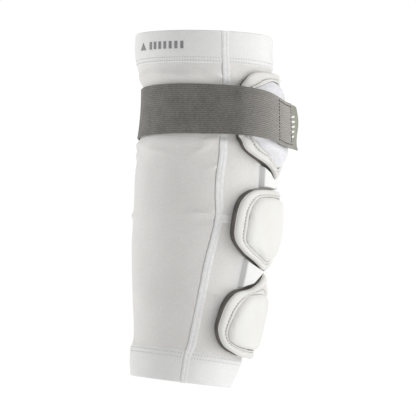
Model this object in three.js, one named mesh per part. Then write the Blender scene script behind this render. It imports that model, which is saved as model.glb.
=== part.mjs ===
// Padded compression sleeve for a lacrosse player's left arm, as it sits on a slightly bent arm.
// Millimetres. +Z points to the shoulder, -Y is the padded back of the elbow, +Y the front of the arm
// and -X its outer side. The origin is the middle of the arm at the height of the elbow.

import * as THREE from 'three';

// Arm form
const UPPER_LENGTH = 166.5;
const FOREARM_LENGTH = 132.5;
const ARM_DEPTH = 119.8;
const ARM_WIDTH = 105.4;
const FOREARM_REACH = 12.2;
const FOREARM_SPREAD = 18;
const FOREARM_PITCH = 7.4;
const FOREARM_ROLL = 8;

// Cloth
const WALL = 1.6;
const GAP = 0.3;
const UPPER_HEM = 28.5;
const LOWER_HEM = 25;
const HEM_STEP = 0.6;
const SEAM_WIDTH = 6.6;
const SEAM_PROUD = 0.9;
const SEAM_EDGE_PROUD = 0.4;
const PRESSED_PROUD = 0.1;
const CROSS_SEAM_HEIGHT = 7.5;

// Pads. A pad's height, width and centre are those of its footprint on the sleeve.
// Its foam is thinner in the middle, middle being that share of its edge, because a pad is flatter than
// the arm, and lean is the share by which it is thicker at the top and thinner at the bottom.
const UPPER_PAD = { height: 88.5, width: 75, centre: 89.6, foam: 3.4, middle: 0.9, lean: -0.5, rim: 4.6, crown: 5.4 };
const ELBOW_PAD = { height: 64.6, width: 75, centre: 2, foam: 8.2, middle: 0.4, lean: 0, rim: 4.6, crown: 3.5 };
const FOREARM_PAD = {
  height: 70.2, width: 64.5, centre: -69.2, foam: 8, middle: 0.5, lean: 0.25, rim: 4.6, crown: 3.8,
};
const PAD_SEAT = 0.7;
const FOAM_FLARE = 0.3;
const PIPING_RADIUS = 1.1;

// Links between the pads
const UPPER_LINK_WIDTH = 33;
const LOWER_LINK_WIDTH = 46;
const LINK_FLANGE = 4.2;
const LINK_RISE = 6;
const LINK_SLOPE = 1.4;
const FLANGE_RISE = 0.8;
const LINK_CLEAR = 0.8;

// Strap
const STRAP_WIDTH = 43.4;
const STRAP_HEIGHT = 96.3;
const STRAP_THICKNESS = 2;
const STRAP_SEAT = 0.5;
const STRAP_ROOT_ANGLE = -57;
const STRAP_PRESS = 4;
const SEAM_SETTLE = 4;
const STRAP_LEAVES_ANGLE = 6;
const STRAP_TAIL = 28;
const STRAP_BOX = 21;
const STRAP_DROP = 6.5;
const STRAP_DROP_RUN = 60;
const STRAP_DROP_AHEAD = 9;
const STRAP_TAPER_RUN = 180;
const TAB_EXPOSED = 15;
const TAB_WIDTH = 38.5;
const TAB_THICKNESS = 1.4;
const TAB_WAVE = 1.2;

// Fineness of the facets
const PANEL_COLUMN = 11;
const PANEL_ROW = 20;
const ROW_MERGE = 3.5;
const PAD_POINTS = 32;
const STRAP_STEP = 6;

// Sections of the arm from the upper edge down. rise is a share of UPPER_LENGTH above the elbow and of
// FOREARM_LENGTH below it; size is a share of ARM_DEPTH and ARM_WIDTH; reach, spread, pitch and roll are
// shares of the named forearm sizes.
const SECTIONS = [
  { at: 'upper edge', rise: 1, size: 1, reach: -0.25, spread: 0, pitch: 0.18, roll: 0.19 },
  { at: 'upper hem', rise: 0.913, size: 1.007, reach: -0.25, spread: 0, pitch: 0.18, roll: 0.22 },
  { at: 'hem stitches', rise: 0.836, size: 0.992, reach: -0.31, spread: 0, pitch: 0.18, roll: 0.35 },
  { at: 'under the hem', rise: 0.803, size: 0.98, reach: -0.36, spread: 0, pitch: 0.17, roll: 0.5 },
  { at: 'above the strap', rise: 0.757, size: 0.973, reach: -0.39, spread: 0, pitch: 0.16, roll: 0.65 },
  { at: 'strap, upper edge', rise: 0.712, size: 0.933, reach: -0.49, spread: 0, pitch: 0.15, roll: 0.72 },
  { at: 'strap, lower edge', rise: 0.444, size: 0.965, reach: -0.35, spread: 0, pitch: 0.15, roll: 0.72 },
  { at: 'fold under the strap', rise: 0.414, size: 1.002, reach: -0.25, spread: 0, pitch: 0.16, roll: 0.66 },
  { at: 'below the fold', rise: 0.372, size: 0.985, reach: -0.3, spread: 0, pitch: 0.18, roll: 0.58 },
  { at: 'above the elbow', rise: 0.282, size: 0.992, reach: -0.165, spread: 0, pitch: 0.22, roll: 0.48 },
  { at: 'elbow', rise: 0.048, size: 0.995, reach: 0, spread: 0, pitch: 0.32, roll: 0.42 },
  { at: 'below the elbow', rise: -0.22, size: 0.94, reach: 0.285, spread: 0.17, pitch: 0.6, roll: 0.5 },
  { at: 'forearm', rise: -0.528, size: 0.863, reach: 0.46, spread: 0.47, pitch: 0.78, roll: 0.7 },
  { at: 'above the lower hem', rise: -0.77, size: 0.805, reach: 0.53, spread: 0.72, pitch: 0.77, roll: 0.95 },
  { at: 'lower hem', rise: -0.819, size: 0.802, reach: 0.66, spread: 0.78, pitch: 0.75, roll: 1 },
  { at: 'lower edge', rise: -1, size: 0.722, reach: 1, spread: 1, pitch: 0.69, roll: 0.8 },
];

// Where the long seams run: turn is the angle in degrees from the middle of the back.
const SEAM_PATH = [
  { rise: 1, turn: 54 },
  { rise: 0.62, turn: 54.5 },
  { rise: 0.4, turn: 56 },
  { rise: 0.19, turn: 57.5 },
  { rise: 0.06, turn: 56.5 },
  { rise: -0.05, turn: 58 },
  { rise: -0.26, turn: 61 },
  { rise: -0.49, turn: 63.5 },
  { rise: -0.7, turn: 67 },
  { rise: -0.84, turn: 69 },
  { rise: -1, turn: 67.5 },
];

// Half outlines of the pads from top to bottom, in shares of half the width and half the height.
// edge is the outside of the rim, cap the outside of the raised cap.
const UPPER_OUTLINE = {
  edge: [
    { across: 0, along: 1 },
    { across: 0.36, along: 0.98 },
    { across: 0.67, along: 0.94 },
    { across: 0.84, along: 0.8 },
    { across: 0.91, along: 0.5 },
    { across: 0.96, along: 0.05 },
    { across: 0.96, along: -0.28 },
    { across: 0.92, along: -0.48 },
    { across: 0.74, along: -0.64 },
    { across: 0.4, along: -0.77 },
    { across: 0.14, along: -0.89 },
    { across: 0, along: -1 },
  ],
  cap: [
    { across: 0, along: 0.83 },
    { across: 0.3, along: 0.81 },
    { across: 0.55, along: 0.7 },
    { across: 0.74, along: 0.5 },
    { across: 0.85, along: 0.15 },
    { across: 0.85, along: -0.2 },
    { across: 0.73, along: -0.41 },
    { across: 0.38, along: -0.6 },
    { across: 0.12, along: -0.78 },
    { across: 0, along: -0.81 },
  ],
};
const ELBOW_OUTLINE = {
  edge: [
    { across: 0, along: 1 },
    { across: 0.4, along: 0.99 },
    { across: 0.7, along: 0.94 },
    { across: 0.9, along: 0.72 },
    { across: 1, along: 0.1 },
    { across: 0.95, along: -0.32 },
    { across: 0.74, along: -0.62 },
    { across: 0.38, along: -0.84 },
    { across: 0.12, along: -0.98 },
    { across: 0, along: -1 },
  ],
  cap: [
    { across: 0, along: 0.82 },
    { across: 0.36, along: 0.81 },
    { across: 0.6, along: 0.75 },
    { across: 0.76, along: 0.5 },
    { across: 0.82, along: 0.02 },
    { across: 0.78, along: -0.34 },
    { across: 0.56, along: -0.55 },
    { across: 0.3, along: -0.69 },
    { across: 0.1, along: -0.77 },
    { across: 0, along: -0.78 },
  ],
};
const FOREARM_OUTLINE = {
  edge: [
    { across: 0, along: 1 },
    { across: 0.13, along: 0.85 },
    { across: 0.48, along: 0.64 },
    { across: 0.84, along: 0.5 },
    { across: 0.96, along: 0.26 },
    { across: 1, along: -0.1 },
    { across: 0.98, along: -0.48 },
    { across: 0.8, along: -0.85 },
    { across: 0.46, along: -0.98 },
    { across: 0, along: -1 },
  ],
  cap: [
    { across: 0, along: 0.53 },
    { across: 0.3, along: 0.52 },
    { across: 0.56, along: 0.45 },
    { across: 0.74, along: 0.16 },
    { across: 0.82, along: -0.22 },
    { across: 0.83, along: -0.5 },
    { across: 0.74, along: -0.7 },
    { across: 0.56, along: -0.79 },
    { across: 0.3, along: -0.83 },
    { across: 0, along: -0.84 },
  ],
};

// Section of a rim: in is the way from its outer to its inner edge, up a share of its thickness.
const RIM_SECTION = [
  { in: 0.03, up: 0 },
  { in: -0.01, up: 0.42 },
  { in: 0.1, up: 0.85 },
  { in: 0.36, up: 1 },
  { in: 0.6, up: 0.86 },
  { in: 0.66, up: 0.45 },
  { in: 0.66, up: 0 },
];

// Sizes of the loops under a cap, and its rise from its edge to its middle: size is a share of its
// outline, up of its height.
const CAP_FOOT = [0.985, 0.7, 0.34];
const CAP_RISE = [
  { size: 1, up: 0.3 },
  { size: 0.9, up: 0.72 },
  { size: 0.66, up: 0.93 },
  { size: 0.34, up: 0.99 },
];

// Where the piping lies: its way from the rim's outer to its inner edge and its share of the rim's
// thickness. RIM_ROOM is the rim's breadth as a share of half the pad's width.
const PIPING_PLACE = 0.82;
const PIPING_HEIGHT = 0.72;
const PIPING_SIDES = 5;
const RIM_ROOM = 0.25;

const rad = THREE.MathUtils.degToRad;
const FULL_TURN = 360;

// A smooth line through [position, value] stops in rising order that never overshoots them.
function smoothLine(stops) {
  const span = stops.slice(1).map((stop, i) => stop[0] - stops[i][0]);
  const fall = stops.slice(1).map((stop, i) => (stop[1] - stops[i][1]) / span[i]);
  const slope = stops.map((_, i) => {
    if (i === 0) return fall[0];
    if (i === stops.length - 1) return fall[i - 1];
    if (fall[i - 1] * fall[i] <= 0) return 0;
    const before = 2 * span[i] + span[i - 1];
    const after = span[i] + 2 * span[i - 1];
    return (before + after) / (before / fall[i - 1] + after / fall[i]);
  });
  return (position) => {
    const next = stops.findIndex((stop) => stop[0] >= position);
    const i = Math.max(0, (next < 0 ? stops.length : next) - 1);
    const k = Math.min(i, span.length - 1);
    const s = THREE.MathUtils.clamp((position - stops[k][0]) / span[k], 0, 1);
    const bend = s * s * (3 - 2 * s);
    const start = (s ** 3 - 2 * s * s + s) * span[k] * slope[k];
    const end = (s ** 3 - s * s) * span[k] * slope[k + 1];
    return stops[k][1] + (stops[k + 1][1] - stops[k][1]) * bend + start + end;
  };
}

const heightOf = (rise) => rise * (rise >= 0 ? UPPER_LENGTH : FOREARM_LENGTH);
const columnOf = (rows, name) => smoothLine(rows.map((row) => [heightOf(row.rise), row[name]]).reverse());

const sizeAt = columnOf(SECTIONS, 'size');
const reachAt = columnOf(SECTIONS, 'reach');
const spreadAt = columnOf(SECTIONS, 'spread');
const pitchAt = columnOf(SECTIONS, 'pitch');
const rollAt = columnOf(SECTIONS, 'roll');
const seamTurnAt = columnOf(SEAM_PATH, 'turn');

// The ring of the arm at a height: its middle, half axes and the slopes of its plane.
function ringAt(height) {
  return {
    x: -FOREARM_SPREAD * spreadAt(height),
    y: FOREARM_REACH * reachAt(height),
    halfWidth: (ARM_WIDTH / 2) * sizeAt(height),
    halfDepth: (ARM_DEPTH / 2) * sizeAt(height),
    pitch: Math.tan(rad(FOREARM_PITCH)) * pitchAt(height),
    roll: -Math.tan(rad(FOREARM_ROLL)) * rollAt(height),
  };
}

// A point in a ring's plane, from shares of its half axes.
function onRing(height, acrossShare, depthShare) {
  const ring = ringAt(height);
  const x = ring.halfWidth * acrossShare;
  const y = ring.halfDepth * depthShare;
  return new THREE.Vector3(ring.x + x, ring.y + y, height + ring.pitch * y + ring.roll * x);
}

// A point on the sleeve at an angle in degrees from the middle of the back, raised off its surface.
function onSleeve(turn, height, lift = 0) {
  const at = (t, h) => onRing(h, -Math.sin(rad(t)), -Math.cos(rad(t)));
  const STEP = 0.5;
  const around = at(turn + STEP, height).sub(at(turn - STEP, height));
  const up = at(turn, height + STEP).sub(at(turn, height - STEP));
  const out = up.cross(around).normalize();
  return at(turn, height).addScaledVector(out, lift);
}

// Degrees of turn that a length takes on the sleeve at an angle and a height.
function turnFor(length, turn, height) {
  const ring = ringAt(height);
  const speed = Math.hypot(ring.halfWidth * Math.cos(rad(turn)), ring.halfDepth * Math.sin(rad(turn)));
  return THREE.MathUtils.radToDeg(length / speed);
}

// The angle on the sleeve of a place that lies so far from the middle of the back, seen square on.
const turnAcross = (across, height) =>
  THREE.MathUtils.radToDeg(Math.asin(THREE.MathUtils.clamp(across / ringAt(height).halfWidth, -0.98, 0.98)));

const counted = (count) => Array.from({ length: count }, (_, i) => i);
const between = (low, high, count) => counted(count + 1).map((i) => low + ((high - low) * i) / count);

const upperHemLine = UPPER_LENGTH - UPPER_HEM;
const lowerHemLine = LOWER_HEM - FOREARM_LENGTH;
const strapTop = STRAP_HEIGHT + STRAP_WIDTH / 2;
const strapBottom = STRAP_HEIGHT - STRAP_WIDTH / 2;

// Heights at which every piece of the sleeve has a row of points: the sections, the seam's bends, the
// hem lines and the strap's edges, with more rows where those lie far apart.
const sleeveRows = [
  ...SECTIONS.map((row) => heightOf(row.rise)),
  upperHemLine,
  lowerHemLine,
  strapTop + STRAP_PRESS,
  strapBottom - STRAP_PRESS,
  ...SEAM_PATH.map((row) => heightOf(row.rise)),
]
  .reduce((rows, height) => (rows.every((row) => Math.abs(row - height) > ROW_MERGE) ? [...rows, height] : rows), [])
  .sort((a, b) => a - b)
  .reduce((rows, height) => {
    if (!rows.length) return [height];
    const last = rows[rows.length - 1];
    const count = Math.max(1, Math.ceil((height - last) / PANEL_ROW));
    return [...rows, ...between(last, height, count).slice(1)];
  }, []);

// The sleeve's rows between two heights, with a row at each of the two.
const heightsBetween = (low, high) => [
  low,
  ...sleeveRows.filter((height) => height > low + ROW_MERGE && height < high - ROW_MERGE),
  high,
];

// Builds a closed body from points and faces of three or four corners, turned so that its faces point
// out. A face of four is cut along its shorter diagonal, so that faces that lie on each other match.
function closedBody(points, faces) {
  const triangles = faces.flatMap(([a, b, c, d]) => {
    if (d === undefined) return [[a, b, c]];
    const cutFromA = points[a].distanceTo(points[c]) <= points[b].distanceTo(points[d]);
    return cutFromA ? [[a, b, c], [a, c, d]] : [[a, b, d], [b, c, d]];
  });
  let volume = 0;
  for (const [a, b, c] of triangles) {
    volume += points[a].dot(points[b].clone().cross(points[c]));
  }
  const index = triangles.flatMap(([a, b, c]) => (volume > 0 ? [a, b, c] : [a, c, b]));
  const geometry = new THREE.BufferGeometry();
  geometry.setAttribute('position', new THREE.Float32BufferAttribute(points.flatMap((p) => p.toArray()), 3));
  geometry.setIndex(index);
  geometry.computeVertexNormals();
  return geometry;
}

// A sheet with a thickness: two equal grids of points, outer and inner, joined round their edge.
function sheetBody(outer, inner) {
  const rows = outer.length;
  const columns = outer[0].length;
  const points = [...outer.flat(), ...inner.flat()];
  const out = (r, c) => r * columns + c;
  const inn = (r, c) => rows * columns + r * columns + c;
  const faces = [];
  for (let r = 0; r < rows - 1; r++) {
    for (let c = 0; c < columns - 1; c++) {
      faces.push([out(r, c), out(r, c + 1), out(r + 1, c + 1), out(r + 1, c)]);
      faces.push([inn(r, c), inn(r + 1, c), inn(r + 1, c + 1), inn(r, c + 1)]);
    }
  }
  const edge = [
    ...counted(columns).map((c) => [0, c]),
    ...counted(rows).slice(1).map((r) => [r, columns - 1]),
    ...counted(columns).reverse().slice(1).map((c) => [rows - 1, c]),
    ...counted(rows).reverse().slice(1, -1).map((r) => [r, 0]),
  ];
  edge.forEach((place, i) => {
    const next = edge[(i + 1) % edge.length];
    faces.push([out(...next), out(...place), inn(...place), inn(...next)]);
  });
  return closedBody(points, faces);
}

// A ring-shaped body: loops of equal length, each joined to the next and the last to the first.
function ringBody(loops) {
  const count = loops[0].length;
  const at = (k, i) => (k % loops.length) * count + (i % count);
  const faces = [];
  for (let k = 0; k < loops.length; k++) {
    for (let i = 0; i < count; i++) {
      faces.push([at(k, i), at(k, i + 1), at(k + 1, i + 1), at(k + 1, i)]);
    }
  }
  return closedBody(loops.flat(), faces);
}

// A dome-shaped body: loops stacked from a bottom point to a top point.
function domeBody(bottom, loops, top) {
  const count = loops[0].length;
  const at = (k, i) => 1 + k * count + (i % count);
  const last = 1 + loops.length * count;
  const faces = [];
  for (let i = 0; i < count; i++) {
    faces.push([0, at(0, i + 1), at(0, i)]);
    for (let k = 0; k < loops.length - 1; k++) {
      faces.push([at(k, i), at(k, i + 1), at(k + 1, i + 1), at(k + 1, i)]);
    }
    faces.push([last, at(loops.length - 1, i), at(loops.length - 1, i + 1)]);
  }
  return closedBody([bottom, ...loops.flat(), top], faces);
}

// A piece of the sleeve's wall between two heights and two edges, each edge an angle at a height.
function wallBody(low, high, startAt, endAt, outerLift = 0) {
  const heights = heightsBetween(low, high);
  const columns = Math.max(2, Math.round((endAt(high) - startAt(high)) / PANEL_COLUMN));
  const grid = (lift) =>
    heights.map((height) =>
      between(startAt(height), endAt(height), columns).map((turn) => onSleeve(turn, height, lift)));
  return sheetBody(grid(outerLift), grid(-WALL));
}

const halfSeam = (height) => turnFor(SEAM_WIDTH / 2, seamTurnAt(height), height);
const clearSeam = (height) => turnFor(SEAM_WIDTH / 2 + GAP, seamTurnAt(height), height);
const frontStart = (height) => seamTurnAt(height) + clearSeam(height);
const frontEnd = (height) => FULL_TURN - frontStart(height);
const backEnd = (height) => seamTurnAt(height) - clearSeam(height);
const backStart = (height) => -backEnd(height);

// How far a seam's middle stands proud of the sleeve at a height: it is pressed flat under the strap.
const seamProud = smoothLine([
  [strapBottom - STRAP_PRESS, SEAM_PROUD],
  [strapBottom, PRESSED_PROUD],
  [strapTop, PRESSED_PROUD],
  [strapTop + STRAP_PRESS, SEAM_PROUD],
]);

// A long flatlock seam in the slot between the front and the back panels, on one side of the arm.
function longSeam(side) {
  const heights = heightsBetween(-FOREARM_LENGTH, UPPER_LENGTH);
  const grid = (liftAt) =>
    heights.map((height) =>
      [-1, -0.5, 0.5, 1].map((share) =>
        onSleeve(side * (seamTurnAt(height) + share * halfSeam(height)), height, liftAt(share, height))));
  const proud = (share, height) =>
    Math.abs(share) < 1 ? seamProud(height) : Math.min(SEAM_EDGE_PROUD, seamProud(height));
  return sheetBody(grid(proud), grid(() => -WALL));
}

// The cross seam behind the elbow, flat where it passes under the pad.
function crossSeam() {
  const low = CROSS_SEAM_HEIGHT - SEAM_WIDTH / 2;
  const padEdge = turnAcross(ELBOW_PAD.width / 2, CROSS_SEAM_HEIGHT);
  const proudAt = smoothLine([[padEdge, PRESSED_PROUD], [padEdge + SEAM_SETTLE, SEAM_PROUD]]);
  const end = backEnd(CROSS_SEAM_HEIGHT);
  const turns = [
    ...between(-end, -padEdge, 3),
    ...between(-padEdge, padEdge, 10).slice(1, -1),
    ...between(padEdge, end, 3),
  ];
  const grid = (liftAt) =>
    [0, 0.25, 0.75, 1].map((share) =>
      turns.map((turn) => {
        const height = low + share * SEAM_WIDTH;
        const edge = share === 0 || share === 1;
        const place = (turn * backEnd(height)) / end;
        return onSleeve(place, height, liftAt(edge, Math.abs(turn)));
      }));
  const proud = (edge, turn) => (edge ? Math.min(SEAM_EDGE_PROUD, proudAt(turn)) : proudAt(turn));
  return sheetBody(grid(proud), grid(() => -WALL));
}

// An outline of a pad as evenly spaced { across, height } places round it, from its top.
function padLoop(pad, rows) {
  const place = ({ across, along }, side) =>
    new THREE.Vector3((side * across * pad.width) / 2, pad.centre + (along * pad.height) / 2, 0);
  const near = rows.map((row) => place(row, 1));
  const far = rows.slice(1, -1).reverse().map((row) => place(row, -1));
  const curve = new THREE.CatmullRomCurve3([...near, ...far], true, 'centripetal');
  return curve.getSpacedPoints(PAD_POINTS).slice(0, PAD_POINTS).map((p) => ({ across: p.x, height: p.y }));
}

// A loop of places between two others, at a share of the way.
const mixLoops = (from, to, share) =>
  from.map((place, i) => ({
    across: THREE.MathUtils.lerp(place.across, to[i].across, share),
    height: THREE.MathUtils.lerp(place.height, to[i].height, share),
  }));

// Raises a loop of places off the sleeve.
const raised = (loop, liftAt) =>
  loop.map((place) => onSleeve(turnAcross(place.across, place.height), place.height, liftAt(place)));

// The foam, rim, piping and cap of one pad.
function padBodies(pad, outline) {
  const edge = padLoop(pad, outline.edge);
  const cap = padLoop(pad, outline.cap);
  const middle = edge.map(() => ({ across: 0, height: pad.centre }));
  const shrunk = (loop, size) => mixLoops(middle, loop, size);
  const foot = shrunk(edge, 1 + FOAM_FLARE / (pad.width / 2));
  const seat = () => PAD_SEAT;
  const overFoam = (rise) => ({ across, height }) => {
    const out = Math.min(1, Math.abs(across) / (pad.width / 2));
    const up = (height - pad.centre) / (pad.height / 2);
    const foam = pad.foam * THREE.MathUtils.lerp(pad.middle, 1, out * out) * (1 + pad.lean * up);
    return PAD_SEAT + foam + rise;
  };
  const middlePoint = (liftAt) => raised([middle[0]], liftAt)[0];

  const foam = domeBody(
    middlePoint(seat),
    [
      ...[0.3, 0.6, 0.82, 1].map((size) => raised(shrunk(foot, size), seat)),
      raised(edge, overFoam(0)),
      raised(mixLoops(edge, cap, RIM_SECTION.at(-1).in), overFoam(0)),
      ...CAP_FOOT.map((size) => raised(shrunk(cap, size), overFoam(0))),
    ],
    middlePoint(overFoam(0)),
  );

  const rim = ringBody(
    RIM_SECTION.map((row) => raised(mixLoops(edge, cap, row.in), overFoam(GAP + row.up * pad.rim))),
  );

  const rimRoom = (pad.width / 2) * RIM_ROOM;
  const piping = ringBody(
    between(0, FULL_TURN, PIPING_SIDES).slice(1).map((angle) => {
      const way = PIPING_PLACE + (PIPING_RADIUS / rimRoom) * Math.cos(rad(angle));
      const rise = pad.rim * PIPING_HEIGHT + PIPING_RADIUS * Math.sin(rad(angle));
      return raised(mixLoops(edge, cap, way), overFoam(GAP + rise));
    }),
  );

  const capHeight = pad.rim + pad.crown;
  const capPiece = domeBody(
    middlePoint(overFoam(GAP)),
    [
      ...[...CAP_FOOT].reverse().map((size) => raised(shrunk(cap, size), overFoam(GAP))),
      ...CAP_RISE.map((row) => raised(shrunk(cap, row.size), overFoam(GAP + row.up * capHeight))),
    ],
    middlePoint(overFoam(GAP + capHeight)),
  );
  return { foot, foam, rim, piping, cap: capPiece };
}

// The highest or lowest height of an outline at a distance from the middle of the back.
function outlineHeight(loop, across, pick) {
  const crossings = loop.flatMap((from, i) => {
    const to = loop[(i + 1) % loop.length];
    if ((from.across - across) * (to.across - across) > 0 || from.across === to.across) return [];
    const share = (across - from.across) / (to.across - from.across);
    return [from.height + share * (to.height - from.height)];
  });
  return pick(...crossings);
}

// A moulded bridge with thin flanges that fills the sleeve between two pads.
function linkBody(width, above, below) {
  const side = width / 2;
  const flat = PAD_SEAT + FLANGE_RISE;
  const top = PAD_SEAT + LINK_RISE;
  const half = [
    { across: side + LINK_FLANGE, lift: flat },
    { across: side, lift: flat },
    { across: side - LINK_SLOPE / 2, lift: top - LINK_SLOPE / 2 },
    { across: side - LINK_SLOPE, lift: top },
    { across: side / 2, lift: top },
  ];
  const profile = [
    ...half.map((row) => ({ ...row, across: -row.across })),
    { across: 0, lift: top },
    ...half.reverse(),
  ];
  const ROWS = 4;
  const grid = (liftOf) =>
    between(0, 1, ROWS).map((share) =>
      profile.map((row) => {
        const high = outlineHeight(above, row.across, Math.min) - LINK_CLEAR;
        const low = outlineHeight(below, row.across, Math.max) + LINK_CLEAR;
        const height = THREE.MathUtils.lerp(low, high, share);
        return onSleeve(turnAcross(row.across, height), height, liftOf(row));
      }));
  return sheetBody(grid((row) => row.lift), grid(() => PAD_SEAT));
}

// The convex outline round a set of plan points, anticlockwise.
function hullOf(points) {
  const sorted = [...points].sort((a, b) => a.x - b.x || a.y - b.y);
  const half = (ordered) => {
    const line = [];
    for (const p of ordered) {
      while (line.length > 1) {
        const [a, b] = line.slice(-2);
        if ((b.x - a.x) * (p.y - a.y) - (b.y - a.y) * (p.x - a.x) > 0) break;
        line.pop();
      }
      line.push(p);
    }
    return line.slice(0, -1);
  };
  return [...half(sorted), ...half(sorted.reverse())];
}

const strapRing = ringAt(STRAP_HEIGHT);

// The plan place, on the strap's own ring, of a point near the sleeve.
function planPlace(point) {
  let height = point.z;
  for (let pass = 0; pass < 6; pass++) {
    const ring = ringAt(height);
    height = point.z - ring.pitch * (point.y - ring.y) - ring.roll * (point.x - ring.x);
  }
  const ring = ringAt(height);
  const across = ((point.x - ring.x) / ring.halfWidth) * strapRing.halfWidth;
  const depth = ((point.y - ring.y) / ring.halfDepth) * strapRing.halfDepth;
  return { height, plan: new THREE.Vector2(across, depth) };
}

// The stations of the strap's middle line in plan, from its root to its free tip.
function strapRoute(padPieces) {
  const reach = STRAP_SEAT + STRAP_THICKNESS / 2;
  const sleeve = between(0, FULL_TURN, 90).slice(1).map((turn) => {
    const direction = new THREE.Vector2(-Math.sin(rad(turn)), -Math.cos(rad(turn)));
    const normal = new THREE.Vector2(
      direction.x / strapRing.halfWidth, direction.y / strapRing.halfDepth).normalize();
    return new THREE.Vector2(direction.x * strapRing.halfWidth, direction.y * strapRing.halfDepth)
      .addScaledVector(normal, reach);
  });
  const padReach = reach + TAB_THICKNESS + GAP;
  const pad = padPieces
    .flatMap((geometry) => {
      const place = geometry.getAttribute('position');
      return Array.from({ length: place.count }, (_, i) => new THREE.Vector3().fromBufferAttribute(place, i));
    })
    .map(planPlace)
    .filter(({ height, plan }) => plan.x < GAP && height < strapTop && height > strapBottom - STRAP_DROP)
    .map(({ plan }) => plan.clone().setLength(plan.length() + padReach));
  const hull = hullOf([...sleeve, ...pad]);
  const placeAt = (turn) => {
    const ray = new THREE.Vector2(-Math.sin(rad(turn)), -Math.cos(rad(turn)));
    for (let i = 0; i < hull.length; i++) {
      const from = hull[i];
      const along = hull[(i + 1) % hull.length].clone().sub(from);
      const cross = ray.cross(along);
      const share = ray.cross(from) / -cross;
      const length = from.cross(along) / cross;
      if (length > 0 && share >= 0 && share <= 1) return ray.clone().multiplyScalar(length);
    }
    throw new Error('the strap has no way round the arm');
  };
  const rootTurn = FULL_TURN + STRAP_ROOT_ANGLE;
  const fine = between(rootTurn, STRAP_LEAVES_ANGLE, 240).map(placeAt);
  const curve = new THREE.CatmullRomCurve3(fine.map((p) => new THREE.Vector3(p.x, p.y, 0)));
  const count = Math.round(curve.getLength() / STRAP_STEP);
  const around = curve.getSpacedPoints(count).map((p) => new THREE.Vector2(p.x, p.y));
  const lastStep = around[count].clone().sub(around[count - 1]).normalize();
  const straight = between(0, STRAP_TAIL, Math.ceil(STRAP_TAIL / STRAP_STEP)).slice(1)
    .map((length) => around[count].clone().addScaledVector(lastStep, length));
  return [...around, ...straight];
}

// A band along the strap's route, between two distances from its free tip.
function bandBody(route, fromTip, toTip, innerOffset, outerOffset, waveAt) {
  const gone = [0];
  route.slice(1).forEach((place, i) => gone.push(gone[i] + place.distanceTo(route[i])));
  const total = gone[gone.length - 1];
  const at = (distance) => {
    const along = THREE.MathUtils.clamp(total - distance, 0, total);
    const next = Math.max(1, gone.findIndex((g) => g >= along - 1e-6));
    const share = (along - gone[next - 1]) / (gone[next] - gone[next - 1]);
    return {
      place: route[next - 1].clone().lerp(route[next], share),
      heading: route[next].clone().sub(route[next - 1]).normalize(),
    };
  };
  const stops = gone.map((g) => total - g).filter((d) => d < fromTip - 1 && d > toTip + 1);
  const distances = [Math.min(fromTip, total), ...stops, toTip];
  const dropEnd = STRAP_BOX + TAB_EXPOSED - STRAP_DROP_AHEAD;
  const fallAt = smoothLine([
    [dropEnd, 1], [dropEnd + STRAP_DROP_RUN / 2, 0.25], [dropEnd + STRAP_DROP_RUN, 0]]);
  const taperAt = smoothLine([[TAB_EXPOSED, 1], [STRAP_TAPER_RUN / 3, 0.55], [STRAP_TAPER_RUN, 0]]);
  const ROWS = 3;
  const grid = (offset) =>
    between(-0.5, 0.5, ROWS).map((row) =>
      distances.map((distance) => {
        const { place, heading } = at(distance);
        const normal = new THREE.Vector2(heading.y, -heading.x);
        if (normal.dot(place) < 0) normal.negate();
        const shift = offset + waveAt(distance, row);
        const plan = place.clone().addScaledVector(normal, shift);
        const width = THREE.MathUtils.lerp(STRAP_WIDTH, TAB_WIDTH, taperAt(distance));
        const height = STRAP_HEIGHT - STRAP_DROP * fallAt(distance) + row * width;
        return onRing(height, plan.x / strapRing.halfWidth, plan.y / strapRing.halfDepth);
      }));
  return sheetBody(grid(outerOffset), grid(innerOffset));
}

const knit = { color: 0xe6e6e4, roughness: 0.85, metalness: 0 };
const seamCloth = { color: 0xebecec, roughness: 0.9, metalness: 0 };
const foamFinish = { color: 0x57524e, roughness: 0.95, metalness: 0 };
const rimFinish = { color: 0xf0f1ec, roughness: 0.55, metalness: 0 };
const capFinish = { color: 0xededE8, roughness: 0.6, metalness: 0 };
const brushedFinish = { color: 0xe8e8ee, roughness: 0.95, metalness: 0 };
const mouldedFinish = { color: 0xeeeeec, roughness: 0.6, metalness: 0 };
const strapFinish = { color: 0x6e6c67, roughness: 0.9, metalness: 0 };
const tabFinish = { color: 0x96998a, roughness: 0.6, metalness: 0 };

const group = new THREE.Group();

function add(name, geometry, finish) {
  const mesh = new THREE.Mesh(geometry, new THREE.MeshStandardMaterial(finish));
  mesh.name = name;
  group.add(mesh);
}

// Sleeve
const seamTop = CROSS_SEAM_HEIGHT + (SEAM_WIDTH + GAP) / 2;
const seamBottom = CROSS_SEAM_HEIGHT - (SEAM_WIDTH + GAP) / 2;
const half = GAP / 2;
add('front_panel', wallBody(lowerHemLine + half, upperHemLine - half, frontStart, frontEnd), knit);
add('back_panel_upper', wallBody(seamTop, upperHemLine - half, backStart, backEnd), knit);
add('back_panel_lower', wallBody(lowerHemLine + half, seamBottom, backStart, backEnd), knit);
add('upper_hem_front', wallBody(upperHemLine + half, UPPER_LENGTH, frontStart, frontEnd, HEM_STEP), knit);
add('upper_hem_back', wallBody(upperHemLine + half, UPPER_LENGTH, backStart, backEnd, HEM_STEP), knit);
add('lower_hem_front', wallBody(-FOREARM_LENGTH, lowerHemLine - half, frontStart, frontEnd, HEM_STEP), knit);
add('lower_hem_back', wallBody(-FOREARM_LENGTH, lowerHemLine - half, backStart, backEnd, HEM_STEP), knit);
add('outer_seam', longSeam(1), seamCloth);
add('inner_seam', longSeam(-1), seamCloth);
add('cross_seam', crossSeam(), seamCloth);

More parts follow.
